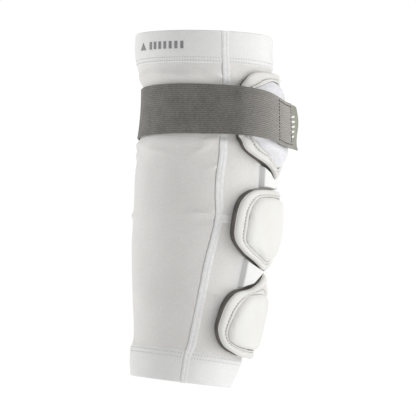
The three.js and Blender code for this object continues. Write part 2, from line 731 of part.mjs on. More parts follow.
// Pads
const pads = [
  { name: 'upper', size: UPPER_PAD, outline: UPPER_OUTLINE, capFinish: brushedFinish },
  { name: 'elbow', size: ELBOW_PAD, outline: ELBOW_OUTLINE, capFinish },
  { name: 'forearm', size: FOREARM_PAD, outline: FOREARM_OUTLINE, capFinish },
].map((pad) => ({ ...pad, bodies: padBodies(pad.size, pad.outline) }));
for (const pad of pads) {
  add(`${pad.name}_pad_foam`, pad.bodies.foam, foamFinish);
  add(`${pad.name}_pad_rim`, pad.bodies.rim, rimFinish);
  add(`${pad.name}_pad_piping`, pad.bodies.piping, rimFinish);
  add(`${pad.name}_pad_cap`, pad.bodies.cap, pad.capFinish);
}
const [upper, elbow, forearm] = pads;
add('upper_link', linkBody(UPPER_LINK_WIDTH, upper.bodies.foot, elbow.bodies.foot), mouldedFinish);
add('lower_link', linkBody(LOWER_LINK_WIDTH, elbow.bodies.foot, forearm.bodies.foot), mouldedFinish);

// Strap and tab
const route = strapRoute([upper.bodies.foam, upper.bodies.rim, upper.bodies.cap]);
const halfStrap = STRAP_THICKNESS / 2;
const tabOuter = -halfStrap - GAP;
const flatBand = () => 0;
const tabWave = (distance, row) =>
  TAB_WAVE * Math.max(0, 1 - distance / TAB_EXPOSED) * Math.sin(row * 2 * Math.PI + 0.6);
add('strap', bandBody(route, Infinity, TAB_EXPOSED, -halfStrap, halfStrap, flatBand), strapFinish);
add('hook_tab',
  bandBody(route, STRAP_BOX + TAB_EXPOSED, 0, tabOuter - TAB_THICKNESS, tabOuter, tabWave), tabFinish);

export default group;
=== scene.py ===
import logging
import math
from dataclasses import dataclass
from enum import Enum
from typing import Callable, NamedTuple, Sequence

import bmesh
import bpy
import numpy as np
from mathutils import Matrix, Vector
from mathutils.geometry import convex_hull_2d


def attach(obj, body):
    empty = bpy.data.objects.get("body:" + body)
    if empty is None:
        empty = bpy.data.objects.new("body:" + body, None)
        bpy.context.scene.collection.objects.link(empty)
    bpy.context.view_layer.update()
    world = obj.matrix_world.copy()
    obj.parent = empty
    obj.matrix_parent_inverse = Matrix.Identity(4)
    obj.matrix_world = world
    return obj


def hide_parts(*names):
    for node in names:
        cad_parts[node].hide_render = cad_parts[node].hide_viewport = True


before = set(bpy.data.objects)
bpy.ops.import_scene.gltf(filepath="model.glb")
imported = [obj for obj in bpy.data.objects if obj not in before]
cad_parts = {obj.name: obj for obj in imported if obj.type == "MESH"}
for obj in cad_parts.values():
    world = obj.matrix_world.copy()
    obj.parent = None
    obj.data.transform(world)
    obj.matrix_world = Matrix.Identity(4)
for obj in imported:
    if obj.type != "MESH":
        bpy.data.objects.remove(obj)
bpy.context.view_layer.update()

LOG = logging.getLogger("arm_pad")
MM = 0.001
FULL_TURN = 360.0
STRAP_WIDTH = 43.4
RIB_COUNT = 25
RIB_PITCH = STRAP_WIDTH / RIB_COUNT
CLOTH_UV = "cloth"


class ArmSection(NamedTuple):
    """One section of the arm: rise and the other columns are shares of the named sizes of ArmForm."""

    rise: float
    size: float
    reach: float
    spread: float
    pitch: float
    roll: float


class SeamStop(NamedTuple):
    """Where a long seam lies at a height: degrees from the middle of the back."""

    rise: float
    turn: float


class OutlineStop(NamedTuple):
    """A corner of a pad's half outline, in shares of half its width and half its height."""

    across: float
    along: float


class SectionStop(NamedTuple):
    """A corner of a rim's section: its way from the outer to the inner edge and its height."""

    way: float
    up: float


class Fold(NamedTuple):
    """A soft fold in the knit: its middle, its lean in degrees, and its sizes in millimetres."""

    turn: float
    height: float
    lean: float
    length: float
    width: float
    rise: float


ARM_SECTIONS = (
    ArmSection(1, 1, -0.25, 0, 0.18, 0.19),
    ArmSection(0.913, 1.007, -0.25, 0, 0.18, 0.22),
    ArmSection(0.836, 0.992, -0.31, 0, 0.18, 0.35),
    ArmSection(0.803, 0.98, -0.36, 0, 0.17, 0.5),
    ArmSection(0.757, 0.973, -0.39, 0, 0.16, 0.65),
    ArmSection(0.712, 0.933, -0.49, 0, 0.15, 0.72),
    ArmSection(0.444, 0.965, -0.35, 0, 0.15, 0.72),
    ArmSection(0.414, 1.002, -0.25, 0, 0.16, 0.66),
    ArmSection(0.372, 0.985, -0.3, 0, 0.18, 0.58),
    ArmSection(0.282, 0.992, -0.165, 0, 0.22, 0.48),
    ArmSection(0.048, 0.995, 0, 0, 0.32, 0.42),
    ArmSection(-0.22, 0.94, 0.285, 0.17, 0.6, 0.5),
    ArmSection(-0.528, 0.863, 0.46, 0.47, 0.78, 0.7),
    ArmSection(-0.77, 0.805, 0.53, 0.72, 0.77, 0.95),
    ArmSection(-0.819, 0.802, 0.66, 0.78, 0.75, 1),
    ArmSection(-1, 0.722, 1, 1, 0.69, 0.8),
)

SEAM_PATH = (
    SeamStop(1, 54),
    SeamStop(0.62, 54.5),
    SeamStop(0.4, 56),
    SeamStop(0.19, 57.5),
    SeamStop(0.06, 56.5),
    SeamStop(-0.05, 58),
    SeamStop(-0.26, 61),
    SeamStop(-0.49, 63.5),
    SeamStop(-0.7, 67),
    SeamStop(-0.84, 69),
    SeamStop(-1, 67.5),
)

KNIT_FOLDS = (
    Fold(72, 11, -6, 30, 3.4, 0.5),
    Fold(66, 5, -10, 22, 3, -0.35),
    Fold(66, 72, -24, 20, 3.2, 0.55),
    Fold(74, 64, -30, 22, 3.6, 0.4),
    Fold(64, 49, -12, 12, 2.6, 0.4),
    Fold(42, 58, -14, 14, 2.6, 0.45),
    Fold(44, 50, -8, 11, 2.4, -0.3),
    Fold(50, -55, 4, 17, 2.6, 0.45),
    Fold(100, 126, 6, 34, 4.5, 0.55),
    Fold(140, 129, -8, 30, 4.2, 0.5),
    Fold(66, 127, 18, 20, 3.8, 0.6),
    Fold(46, 128, -20, 14, 3.4, 0.5),
    Fold(120, 63, 8, 34, 4, 0.4),
    Fold(160, 60, -6, 36, 4.4, 0.5),
    Fold(170, 8, 5, 44, 5, 0.55),
    Fold(196, -4, -6, 40, 5, -0.5),
    Fold(222, 12, 8, 32, 4.4, 0.5),
    Fold(250, 62, 14, 30, 4, 0.5),
    Fold(285, 8, 8, 24, 3.4, 0.45),
    Fold(210, 126, 6, 36, 4.5, 0.5),
)

RIM_SECTION = (
    SectionStop(0.02, 0),
    SectionStop(-0.04, 0.4),
    SectionStop(0.04, 0.82),
    SectionStop(0.26, 1.02),
    SectionStop(0.5, 0.98),
    SectionStop(0.68, 0.74),
    SectionStop(0.74, 0.4),
    SectionStop(0.74, 0),
)


class SmoothLine:
    """A smooth line through stops in rising order that never overshoots them."""

    def __init__(self, places: Sequence[float], values: Sequence[float]) -> None:
        """Fits the line.

        Args:
            places: where the stops are, rising.
            values: the value at each stop.
        """
        self.places = np.asarray(places, float)
        self.values = np.asarray(values, float)
        self.span = np.diff(self.places)
        fall = np.diff(self.values) / self.span
        self.slope = np.zeros_like(self.values)
        self.slope[0] = fall[0]
        self.slope[-1] = fall[-1]
        for i in range(1, len(fall)):
            if fall[i - 1] * fall[i] > 0:
                before = 2 * self.span[i] + self.span[i - 1]
                after = self.span[i] + 2 * self.span[i - 1]
                self.slope[i] = (before + after) / (before / fall[i - 1] + after / fall[i])

    def __call__(self, at: np.ndarray | float) -> np.ndarray:
        """The line's values.

        Args:
            at: one place or many.

        Returns:
            The value at each place.
        """
        at = np.asarray(at, float)
        k = np.clip(np.searchsorted(self.places, at, side="left") - 1, 0, len(self.span) - 1)
        s = np.clip((at - self.places[k]) / self.span[k], 0, 1)
        bend = s * s * (3 - 2 * s)
        start = (s**3 - 2 * s * s + s) * self.span[k] * self.slope[k]
        end = (s**3 - s * s) * self.span[k] * self.slope[k + 1]
        return self.values[k] + (self.values[k + 1] - self.values[k]) * bend + start + end


class Ring(NamedTuple):
    """The arm's section at a height: its middle, half axes and the slopes of its plane."""

    x: np.ndarray
    y: np.ndarray
    half_width: np.ndarray
    half_depth: np.ndarray
    pitch: np.ndarray
    roll: np.ndarray


class Surface(NamedTuple):
    """Places on the sleeve with the directions round it, up it and out of it."""

    point: np.ndarray
    around: np.ndarray
    up: np.ndarray
    out: np.ndarray


class Edges(NamedTuple):
    """The two side edges of a panel: the turn of each at a height."""

    start: Callable[[np.ndarray], np.ndarray]
    end: Callable[[np.ndarray], np.ndarray]

    def turns(self, heights: np.ndarray, shares: np.ndarray) -> np.ndarray:
        """The turns at shares of the way from the first edge to the last."""
        return self.start(heights) + (self.end(heights) - self.start(heights)) * shares

    def widest(self, heights: np.ndarray) -> float:
        """The most degrees between the two edges."""
        return float(np.max(self.end(heights) - self.start(heights)))


def unit(vectors: np.ndarray) -> np.ndarray:
    """The vectors at length one."""
    return vectors / np.maximum(np.linalg.norm(vectors, axis=-1, keepdims=True), 1e-9)


@dataclass
class ArmForm:
    """The form of the sleeve on a bent arm, in millimetres and degrees."""

    upper_length: float = 166.5
    forearm_length: float = 132.5
    arm_depth: float = 119.8
    arm_width: float = 105.4
    forearm_reach: float = 12.2
    forearm_spread: float = 18
    forearm_pitch: float = 7.4
    forearm_roll: float = 8
    wall: float = 1.6
    gap: float = 0.3
    upper_hem: float = 28.5
    lower_hem: float = 25
    hem_step: float = 0.6
    seam_width: float = 6.6
    seam_proud: float = 0.9
    seam_edge_proud: float = 0.4
    pressed_proud: float = 0.1
    cross_seam_height: float = 7.5
    pad_seat: float = 0.7
    back_tuck: float = 0.5
    seam_settle: float = 4

    def __post_init__(self) -> None:
        """Fits the smooth lines through the tables."""
        rows = ARM_SECTIONS[::-1]
        heights = [self.height_of(row.rise) for row in rows]
        self.size = SmoothLine(heights, [row.size for row in rows])
        self.reach = SmoothLine(heights, [row.reach for row in rows])
        self.spread = SmoothLine(heights, [row.spread for row in rows])
        self.pitch = SmoothLine(heights, [row.pitch for row in rows])
        self.roll = SmoothLine(heights, [row.roll for row in rows])
        stops = SEAM_PATH[::-1]
        seam_heights = [self.height_of(row.rise) for row in stops]
        self.seam_turn = SmoothLine(seam_heights, [row.turn for row in stops])
        self.upper_hem_line = self.upper_length - self.upper_hem
        self.lower_hem_line = self.lower_hem - self.forearm_length

    def height_of(self, rise: float) -> float:
        """A table's rise as a height in millimetres."""
        return rise * (self.upper_length if rise >= 0 else self.forearm_length)

    def ring(self, height: np.ndarray | float) -> Ring:
        """The arm's section at each height."""
        size = self.size(height)
        return Ring(
            x=-self.forearm_spread * self.spread(height),
            y=self.forearm_reach * self.reach(height),
            half_width=self.arm_width / 2 * size,
            half_depth=self.arm_depth / 2 * size,
            pitch=math.tan(math.radians(self.forearm_pitch)) * self.pitch(height),
            roll=-math.tan(math.radians(self.forearm_roll)) * self.roll(height),
        )

    def on_ring(self, height: np.ndarray, across: np.ndarray, depth: np.ndarray) -> np.ndarray:
        """Places in a ring's plane.

        Args:
            height: the ring's height.
            across: share of its half width.
            depth: share of its half depth.

        Returns:
            Places in millimetres.
        """
        ring = self.ring(height)
        x = ring.half_width * across
        y = ring.half_depth * depth
        return np.stack([ring.x + x, ring.y + y, height + ring.pitch * y + ring.roll * x], axis=-1)

    def surface(self, turn: np.ndarray, height: np.ndarray) -> Surface:
        """Places on the sleeve and their directions.

        Args:
            turn: degrees from the middle of the back.
            height: height above the elbow.

        Returns:
            The places with unit directions.
        """
        turn, height = np.broadcast_arrays(np.asarray(turn, float), np.asarray(height, float))
        step = 0.5

        def at(t: np.ndarray, h: np.ndarray) -> np.ndarray:
            """A place on the ring itself."""
            return self.on_ring(h, -np.sin(np.radians(t)), -np.cos(np.radians(t)))

        around = at(turn + step, height) - at(turn - step, height)
        up = at(turn, height + step) - at(turn, height - step)
        return Surface(at(turn, height), unit(around), unit(up), unit(np.cross(up, around)))

    def place(self, turn: np.ndarray, height: np.ndarray, lift: np.ndarray | float = 0) -> np.ndarray:
        """Places raised off the sleeve by lift."""
        on = self.surface(turn, height)
        return on.point + on.out * np.asarray(lift, float)[..., None]

    def turn_for(self, length: float, turn: np.ndarray, height: np.ndarray) -> np.ndarray:
        """Degrees of turn that a length takes."""
        ring, t = self.ring(height), np.radians(turn)
        return np.degrees(length / np.hypot(ring.half_width * np.cos(t), ring.half_depth * np.sin(t)))

    def turn_across(self, across: np.ndarray, height: np.ndarray) -> np.ndarray:
        """The turn of a place so far from the middle of the back, seen square on."""
        return np.degrees(np.arcsin(np.clip(across / self.ring(height).half_width, -0.98, 0.98)))

    def half_seam(self, height: np.ndarray) -> np.ndarray:
        """Degrees that half a seam takes."""
        return self.turn_for(self.seam_width / 2, self.seam_turn(height), height)

    def clear_seam(self, height: np.ndarray) -> np.ndarray:
        """Degrees from a seam's middle to the panel beside it."""
        return self.turn_for(self.seam_width / 2 + self.gap, self.seam_turn(height), height)

    def front_start(self, height: np.ndarray) -> np.ndarray:
        """The front panel's first edge."""
        return self.seam_turn(height) + self.clear_seam(height)

    def front_end(self, height: np.ndarray) -> np.ndarray:
        """The front panel's last edge."""
        return FULL_TURN - self.front_start(height)

    def back_end(self, height: np.ndarray) -> np.ndarray:
        """The back panels' last edge."""
        tucked = self.seam_width / 2 - self.back_tuck
        return self.seam_turn(height) - self.turn_for(tucked, self.seam_turn(height), height)

    def back_start(self, height: np.ndarray) -> np.ndarray:
        """The back panels' first edge."""
        return -self.back_end(height)


@dataclass(frozen=True)
class PadForm:
    """One pad: the sizes of its footprint on the sleeve, its layers and its outlines."""

    name: str
    height: float
    width: float
    centre: float
    foam: float
    middle: float
    lean: float
    rim: float
    crown: float
    edge: tuple[OutlineStop, ...]
    cap: tuple[OutlineStop, ...]
    brushed: bool = False
    foam_tuck: float = 0.0


def outline(*corners: tuple[float, float]) -> tuple[OutlineStop, ...]:
    """A half outline's corners, each across and along, from its top to its foot."""
    return tuple(OutlineStop(*corner) for corner in corners)


UPPER_PAD = PadForm(
    "upper", height=88.5, width=75, centre=89.6, foam=3.4, middle=0.9, lean=-0.5, rim=4.6, crown=5.4,
    edge=outline(
        (0, 1), (0.36, 0.98), (0.67, 0.94), (0.84, 0.8), (0.91, 0.5), (0.96, 0.05), (0.96, -0.28),
        (0.92, -0.48), (0.74, -0.64), (0.4, -0.77), (0.14, -0.89), (0, -1),
    ),
    cap=outline(
        (0, 0.83), (0.3, 0.81), (0.55, 0.7), (0.74, 0.5), (0.85, 0.15), (0.85, -0.2), (0.73, -0.41),
        (0.38, -0.6), (0.12, -0.78), (0, -0.81),
    ),
    brushed=True,
    foam_tuck=1.6,
)
ELBOW_PAD = PadForm(
    "elbow", height=64.6, width=75, centre=2, foam=8.2, middle=0.4, lean=0, rim=4.6, crown=3.5,
    edge=outline(
        (0, 1), (0.4, 0.99), (0.7, 0.94), (0.9, 0.72), (1, 0.1), (0.95, -0.32), (0.74, -0.62),
        (0.38, -0.84), (0.12, -0.98), (0, -1),
    ),
    cap=outline(
        (0, 0.82), (0.36, 0.81), (0.6, 0.75), (0.76, 0.5), (0.82, 0.02), (0.78, -0.34), (0.56, -0.55),
        (0.3, -0.69), (0.1, -0.77), (0, -0.78),
    ),
)
FOREARM_PAD = PadForm(
    "forearm", height=70.2, width=64.5, centre=-69.2, foam=8, middle=0.5, lean=0.25, rim=4.6, crown=3.8,
    edge=outline(
        (0, 1), (0.13, 0.85), (0.48, 0.64), (0.84, 0.5), (0.96, 0.26), (1, -0.1), (0.98, -0.48),
        (0.8, -0.85), (0.46, -0.98), (0, -1),
    ),
    cap=outline(
        (0, 0.53), (0.3, 0.52), (0.56, 0.45), (0.74, 0.16), (0.82, -0.22), (0.83, -0.5), (0.74, -0.7),
        (0.56, -0.79), (0.3, -0.83), (0, -0.84),
    ),
)


class Solid(NamedTuple):
    """Corners in millimetres, faces and, where it has them, cloth coordinates for each corner."""

    points: np.ndarray
    faces: list[tuple[int, ...]]
    uv: np.ndarray | None = None


def grid_faces(rows: int, columns: int, base: int, flip: bool) -> list[tuple[int, ...]]:
    """Faces of a grid of points.

    Args:
        rows: rows of points.
        columns: points in a row.
        base: the first point's number.
        flip: turn the faces over.

    Returns:
        Faces of four corners.
    """
    faces = []
    for r in range(rows - 1):
        for c in range(columns - 1):
            a = base + r * columns + c
            face = (a, a + 1, a + columns + 1, a + columns)
            faces.append(face[::-1] if flip else face)
    return faces


def sheet_solid(outer: np.ndarray, inner: np.ndarray, uv: np.ndarray | None = None) -> Solid:
    """A closed sheet between two equal grids of points.

    Args:
        outer: rows, columns, 3.
        inner: the same.
        uv: rows, columns, 2, or nothing.

    Returns:
        The closed solid.
    """
    rows, columns = outer.shape[:2]
    count = rows * columns
    points = np.concatenate([outer.reshape(-1, 3), inner.reshape(-1, 3)])
    faces = grid_faces(rows, columns, 0, False) + grid_faces(rows, columns, count, True)
    edge = list(range(columns))
    edge += [r * columns + columns - 1 for r in range(1, rows)]
    edge += [(rows - 1) * columns + c for c in range(columns - 2, -1, -1)]
    edge += [r * columns for r in range(rows - 2, 0, -1)]
    for i, a in enumerate(edge):
        b = edge[(i + 1) % len(edge)]
        faces.append((b, a, a + count, b + count))
    both = None if uv is None else np.concatenate([uv.reshape(-1, 2)] * 2)
    return Solid(points, faces, both)


def loops_solid(loops: np.ndarray, closed: bool, uv: np.ndarray | None = None) -> Solid:
    """A solid swept through loops of equal length.

    Args:
        loops: loops, points in a loop, 3.
        closed: join the last loop to the first; otherwise the two ends are filled.
        uv: loops, points, 2, or nothing.

    Returns:
        The closed solid.
    """
    count, size = loops.shape[:2]
    faces = []
    for k in range(count if closed else count - 1):
        for i in range(size):
            a = k * size + i
            b = k * size + (i + 1) % size
            c = (k + 1) % count * size
            faces.append((a, b, c + (i + 1) % size, c + i))
    if not closed:
        faces.append(tuple(range(size))[::-1])
        faces.append(tuple(range((count - 1) * size, count * size)))
    return Solid(loops.reshape(-1, 3), faces, None if uv is None else uv.reshape(-1, 2))


def dome_solid(bottom: np.ndarray, loops: np.ndarray, top: np.ndarray) -> Solid:
    """A solid of stacked loops between a bottom and a top point.

    Args:
        bottom: the bottom point.
        loops: loops, points in a loop, 3, from the bottom up.
        top: the top point.

    Returns:
        The closed solid.
    """
    count, size = loops.shape[:2]
    points = np.concatenate([bottom[None], loops.reshape(-1, 3), top[None]])
    faces = []
    last = 1 + (count - 1) * size
    for i in range(size):
        j = (i + 1) % size
        faces.append((0, 1 + j, 1 + i))
        for k in range(count - 1):
            a = 1 + k * size
            faces.append((a + i, a + j, a + size + j, a + size + i))
        faces.append((len(points) - 1, last + i, last + j))
    return Solid(points, faces)


def joined(solids: Sequence[Solid]) -> Solid:
    """Several solids as one.

    Args:
        solids: the solids.

    Returns:
        One solid with the corners and faces of all.
    """
    points, faces, base = [], [], 0
    for solid in solids:
        points.append(solid.points)
        faces += [tuple(base + i for i in face) for face in solid.faces]
        base += len(solid.points)
    return Solid(np.concatenate(points), faces)


def placed(name: str, data: bpy.types.ID) -> bpy.types.Object:
    """A new object, put into the scene.

    Args:
        name: its name.
        data: its mesh, light or camera.

    Returns:
        The object.
    """
    thing = bpy.data.objects.new(name, data)
    bpy.context.scene.collection.objects.link(thing)
    return thing


def mesh_points(mesh: bpy.types.Mesh) -> np.ndarray:
    """A mesh's corners.

    Args:
        mesh: the mesh.

    Returns:
        Places in metres.
    """
    flat = np.empty(len(mesh.vertices) * 3)
    mesh.vertices.foreach_get("co", flat)
    return flat.reshape(-1, 3)


def keep_vectors(mesh: bpy.types.Mesh, name: str, vectors: np.ndarray) -> None:
    """Keeps one vector with each of a mesh's corners."""
    layer = mesh.attributes.new(name, "FLOAT_VECTOR", "POINT")
    layer.data.foreach_set("vector", vectors.astype(np.float32).ravel())


def kept(piece: bpy.types.Object, modifier: bpy.types.Modifier) -> bpy.types.Mesh:
    """Keeps what a modifier makes of a piece as the piece's plain mesh.

    Args:
        piece: the piece.
        modifier: the modifier, which is removed.

    Returns:
        The new mesh.
    """
    graph = bpy.context.evaluated_depsgraph_get()
    mesh = bpy.data.meshes.new_from_object(piece.evaluated_get(graph))
    piece.modifiers.remove(modifier)
    piece.data = mesh
    return mesh


def new_piece(name: str, solid: Solid, material: bpy.types.Material, sharp: float = 50) -> bpy.types.Object:
    """A mesh object of a closed solid, with its faces turned out.

    Args:
        name: the piece's name.
        solid: what it is made of.
        material: its finish.
        sharp: edges above this angle in degrees stay sharp.

    Returns:
        The new object.
    """
    mesh = bpy.data.meshes.new(name)
    mesh.from_pydata((solid.points * MM).tolist(), [], solid.faces)
    if solid.uv is not None:
        layer = mesh.uv_layers.new(name=CLOTH_UV)
        corner = np.empty(len(mesh.loops), np.int64)
        mesh.loops.foreach_get("vertex_index", corner)
        layer.data.foreach_set("uv", solid.uv[corner].astype(np.float32).ravel())
    shaped = bmesh.new()
    shaped.from_mesh(mesh)
    bmesh.ops.recalc_face_normals(shaped, faces=shaped.faces)
    shaped.to_mesh(mesh)
    shaped.free()
    mesh.shade_smooth()
    mesh.set_sharp_from_angle(angle=math.radians(sharp))
    mesh.materials.append(material)
    return placed(name, mesh)


def dress(piece: bpy.types.Object, slot: str, *nodes: str) -> bpy.types.Object:
    """Fixes a finished piece to the body.

    Args:
        piece: the piece.
        slot: not used.
        nodes: the nodes that it stands for.

    Returns:
        The same piece.
    """
    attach(piece, "root")
    if nodes:
        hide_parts(*nodes)
    LOG.info("%s: %d faces", piece.name, len(piece.data.polygons))
    return piece


def rounded(points: np.ndarray, passes: int, closed: bool) -> np.ndarray:
    """Cuts the corners of a line of points.

    Args:
        points: the corners.
        passes: how many times.
        closed: the line is a loop.

    Returns:
        The smoother line.
    """
    for _ in range(passes):
        after = np.roll(points, -1, axis=0) if closed else points[1:]
        before = points if closed else points[:-1]
        cut = np.stack([before * 0.75 + after * 0.25, before * 0.25 + after * 0.75], axis=1)
        cut = cut.reshape(-1, points.shape[1])
        points = cut if closed else np.concatenate([points[:1], cut, points[-1:]])
    return points


def gone_along(points: np.ndarray) -> np.ndarray:
    """How far along a line each of its points lies."""
    return np.concatenate([[0], np.cumsum(np.linalg.norm(np.diff(points, axis=0), axis=1))])


def evenly(points: np.ndarray, count: int, closed: bool) -> np.ndarray:
    """A line's points at equal distances.

    Args:
        points: the line.
        count: how many points are wanted.
        closed: the line is a loop.

    Returns:
        The even points; a loop's first isn't repeated.
    """
    line = np.concatenate([points, points[:1]]) if closed else points
    gone = gone_along(line)
    wanted = np.linspace(0, gone[-1], count, endpoint=not closed)
    return np.stack([np.interp(wanted, gone, line[:, k]) for k in range(line.shape[1])], axis=1)


def spline_loop(corners: np.ndarray, steps: int = 40) -> np.ndarray:
    """A smooth closed line through corners, a centripetal Catmull-Rom spline.

    Args:
        corners: the corners in order.
        steps: points from one corner to the next.

    Returns:
        The line's points.
    """
    pieces = []
    count = len(corners)
    share = np.linspace(0, 1, steps, endpoint=False)[:, None]
    for i in range(count):
        p0, p1, p2, p3 = (corners[(i + k) % count] for k in (-1, 0, 1, 2))
        d0, d1, d2 = (math.sqrt(np.linalg.norm(b - a)) for a, b in ((p0, p1), (p1, p2), (p2, p3)))
        leave = ((p1 - p0) / d0 - (p2 - p0) / (d0 + d1) + (p2 - p1) / d1) * d1
        arrive = ((p2 - p1) / d1 - (p3 - p1) / (d1 + d2) + (p3 - p2) / d2) * d1
        square = -3 * p1 + 3 * p2 - 2 * leave - arrive
        cube = 2 * p1 - 2 * p2 + leave + arrive
        pieces.append(p1 + leave * share + square * share**2 + cube * share**3)
    return np.concatenate(pieces)


class Grain(Enum):
    """What a finish is made of, which sets its fine relief."""

    KNIT = "knit"
    WEBBING = "webbing"
    LOOPS = "loops"
    COATED = "coated"
    CELLS = "cells"
    MOULDED = "moulded"
    THREAD = "thread"


def srgb(red: int, green: int, blue: int) -> tuple[float, float, float, float]:
    """A colour of 0 to 255 for each channel as Blender's linear colour.

    Args:
        red: its red.
        green: its green.
        blue: its blue.

    Returns:
        Four shares, the last of them whole.
    """

    def linear(value: int) -> float:
        """One channel."""
        share = value / 255
        return share / 12.92 if share <= 0.04045 else ((share + 0.055) / 1.055) ** 2.4

    return linear(red), linear(green), linear(blue), 1.0


class NodeDesk:
    """Adds nodes to a tree and joins them."""

    def __init__(self, tree: bpy.types.NodeTree) -> None:
        """Takes the tree to work on."""
        self.tree = tree

    def add(
        self, kind: str, inputs: dict[str | int, object] | None = None, **settings: object
    ) -> bpy.types.Node:
        """Adds a node.

        Args:
            kind: Blender's name for the node type.
            inputs: values or sockets by input name or number.
            settings: the node's own settings.

        Returns:
            The new node.
        """
        node = self.tree.nodes.new(kind)
        for name, value in settings.items():
            setattr(node, name, value)
        for name, value in (inputs or {}).items():
            if isinstance(value, bpy.types.NodeSocket):
                self.tree.links.new(value, node.inputs[name])
            else:
                node.inputs[name].default_value = value
        return node

    def math(self, operation: str, *values: object) -> bpy.types.NodeSocket:
        """A maths node on numbers or sockets, as its output."""
        return self.add("ShaderNodeMath", dict(enumerate(values)), operation=operation).outputs[0]

    def ramp(
        self, value: bpy.types.NodeSocket, low: float, high: float, at_low: float = 0.0, at_high: float = 1.0
    ) -> bpy.types.NodeSocket:
        """A value moved from the range of low to high to another range, and held at its ends."""
        return self.add("ShaderNodeMapRange", {
            "Value": value, "From Min": low, "From Max": high, "To Min": at_low, "To Max": at_high,
        }).outputs[0]

    def mixed(
        self, share: object, first: object, second: object, blend: str = "MIX"
    ) -> bpy.types.NodeSocket:
        """Two colours mixed, with the share of the second one."""
        return self.add(
            "ShaderNodeMix", {0: share, 6: first, 7: second}, data_type="RGBA", blend_type=blend).outputs[2]

    def noise(
        self, vector: bpy.types.NodeSocket, scale: object, detail: float, **more: float
    ) -> bpy.types.NodeSocket:
        """A noise texture's value."""
        values = {"Vector": vector, "Scale": scale, "Detail": detail, **more}
        return self.add("ShaderNodeTexNoise", values).outputs[0]

    def glow(self, seen: float, light: float) -> bpy.types.NodeSocket:
        """A strength of light, and more by seen for the camera's own rays."""
        path = self.add("ShaderNodeLightPath")
        return self.math("MULTIPLY_ADD", path.outputs["Is Camera Ray"], seen, light)


def socketed(tree: bpy.types.NodeTree, side: str, sockets: dict[str, str]) -> None:
    """Gives a node group its sockets.

    Args:
        tree: the group.
        side: INPUT or OUTPUT.
        sockets: socket types by name.
    """
    for name, kind in sockets.items():
        tree.interface.new_socket(name=name, in_out=side, socket_type=kind)


class FinishGroups:
    """Shader node groups that several finishes share."""

    def __init__(self) -> None:
        """Builds the groups."""
        self.mottle = self._mottle()
        self.knit = self._knit()

    def _mottle(self) -> bpy.types.NodeTree:
        """Two colours that change slowly over a surface.

        Returns:
            The group.
        """
        tree = bpy.data.node_groups.new("cloth_mottle", "ShaderNodeTree")
        socketed(tree, "INPUT", {
            "Vector": "NodeSocketVector", "Scale": "NodeSocketFloat",
            "Light": "NodeSocketColor", "Dark": "NodeSocketColor",
        })
        socketed(tree, "OUTPUT", {"Color": "NodeSocketColor", "Value": "NodeSocketFloat"})
        desk = NodeDesk(tree)
        given = desk.add("NodeGroupInput")
        noise = desk.noise(given.outputs["Vector"], given.outputs["Scale"], 3.0, Roughness=0.6)
        spread = desk.ramp(noise, 0.3, 0.7)
        colour = desk.mixed(spread, given.outputs["Dark"], given.outputs["Light"])
        desk.add("NodeGroupOutput", {"Color": colour, "Value": spread})
        return tree

    def _knit(self) -> bpy.types.NodeTree:
        """The rows of loops of a knit, from cloth coordinates in millimetres.

        Returns:
            The group.
        """
        tree = bpy.data.node_groups.new("knit_loops", "ShaderNodeTree")
        socketed(tree, "INPUT", {
            "Vector": "NodeSocketVector", "Wale": "NodeSocketFloat", "Course": "NodeSocketFloat"})
        socketed(tree, "OUTPUT", {"Height": "NodeSocketFloat"})
        desk = NodeDesk(tree)
        given = desk.add("NodeGroupInput")
        axes = desk.add("ShaderNodeSeparateXYZ", {0: given.outputs["Vector"]})
        wale = desk.math("DIVIDE", desk.math("MULTIPLY", axes.outputs[0], math.pi), given.outputs["Wale"])
        rib = desk.math("ABSOLUTE", desk.math("SINE", wale))
        turns = desk.math("MULTIPLY", axes.outputs[1], math.tau)
        course = desk.math("DIVIDE", turns, given.outputs["Course"])
        loop = desk.math("SINE", desk.math("ADD", course, desk.math("MULTIPLY", rib, 2.2)))
        height = desk.math("MULTIPLY", rib, desk.math("MULTIPLY_ADD", loop, 0.35, 0.65))
        desk.add("NodeGroupOutput", {"Height": height})
        return tree


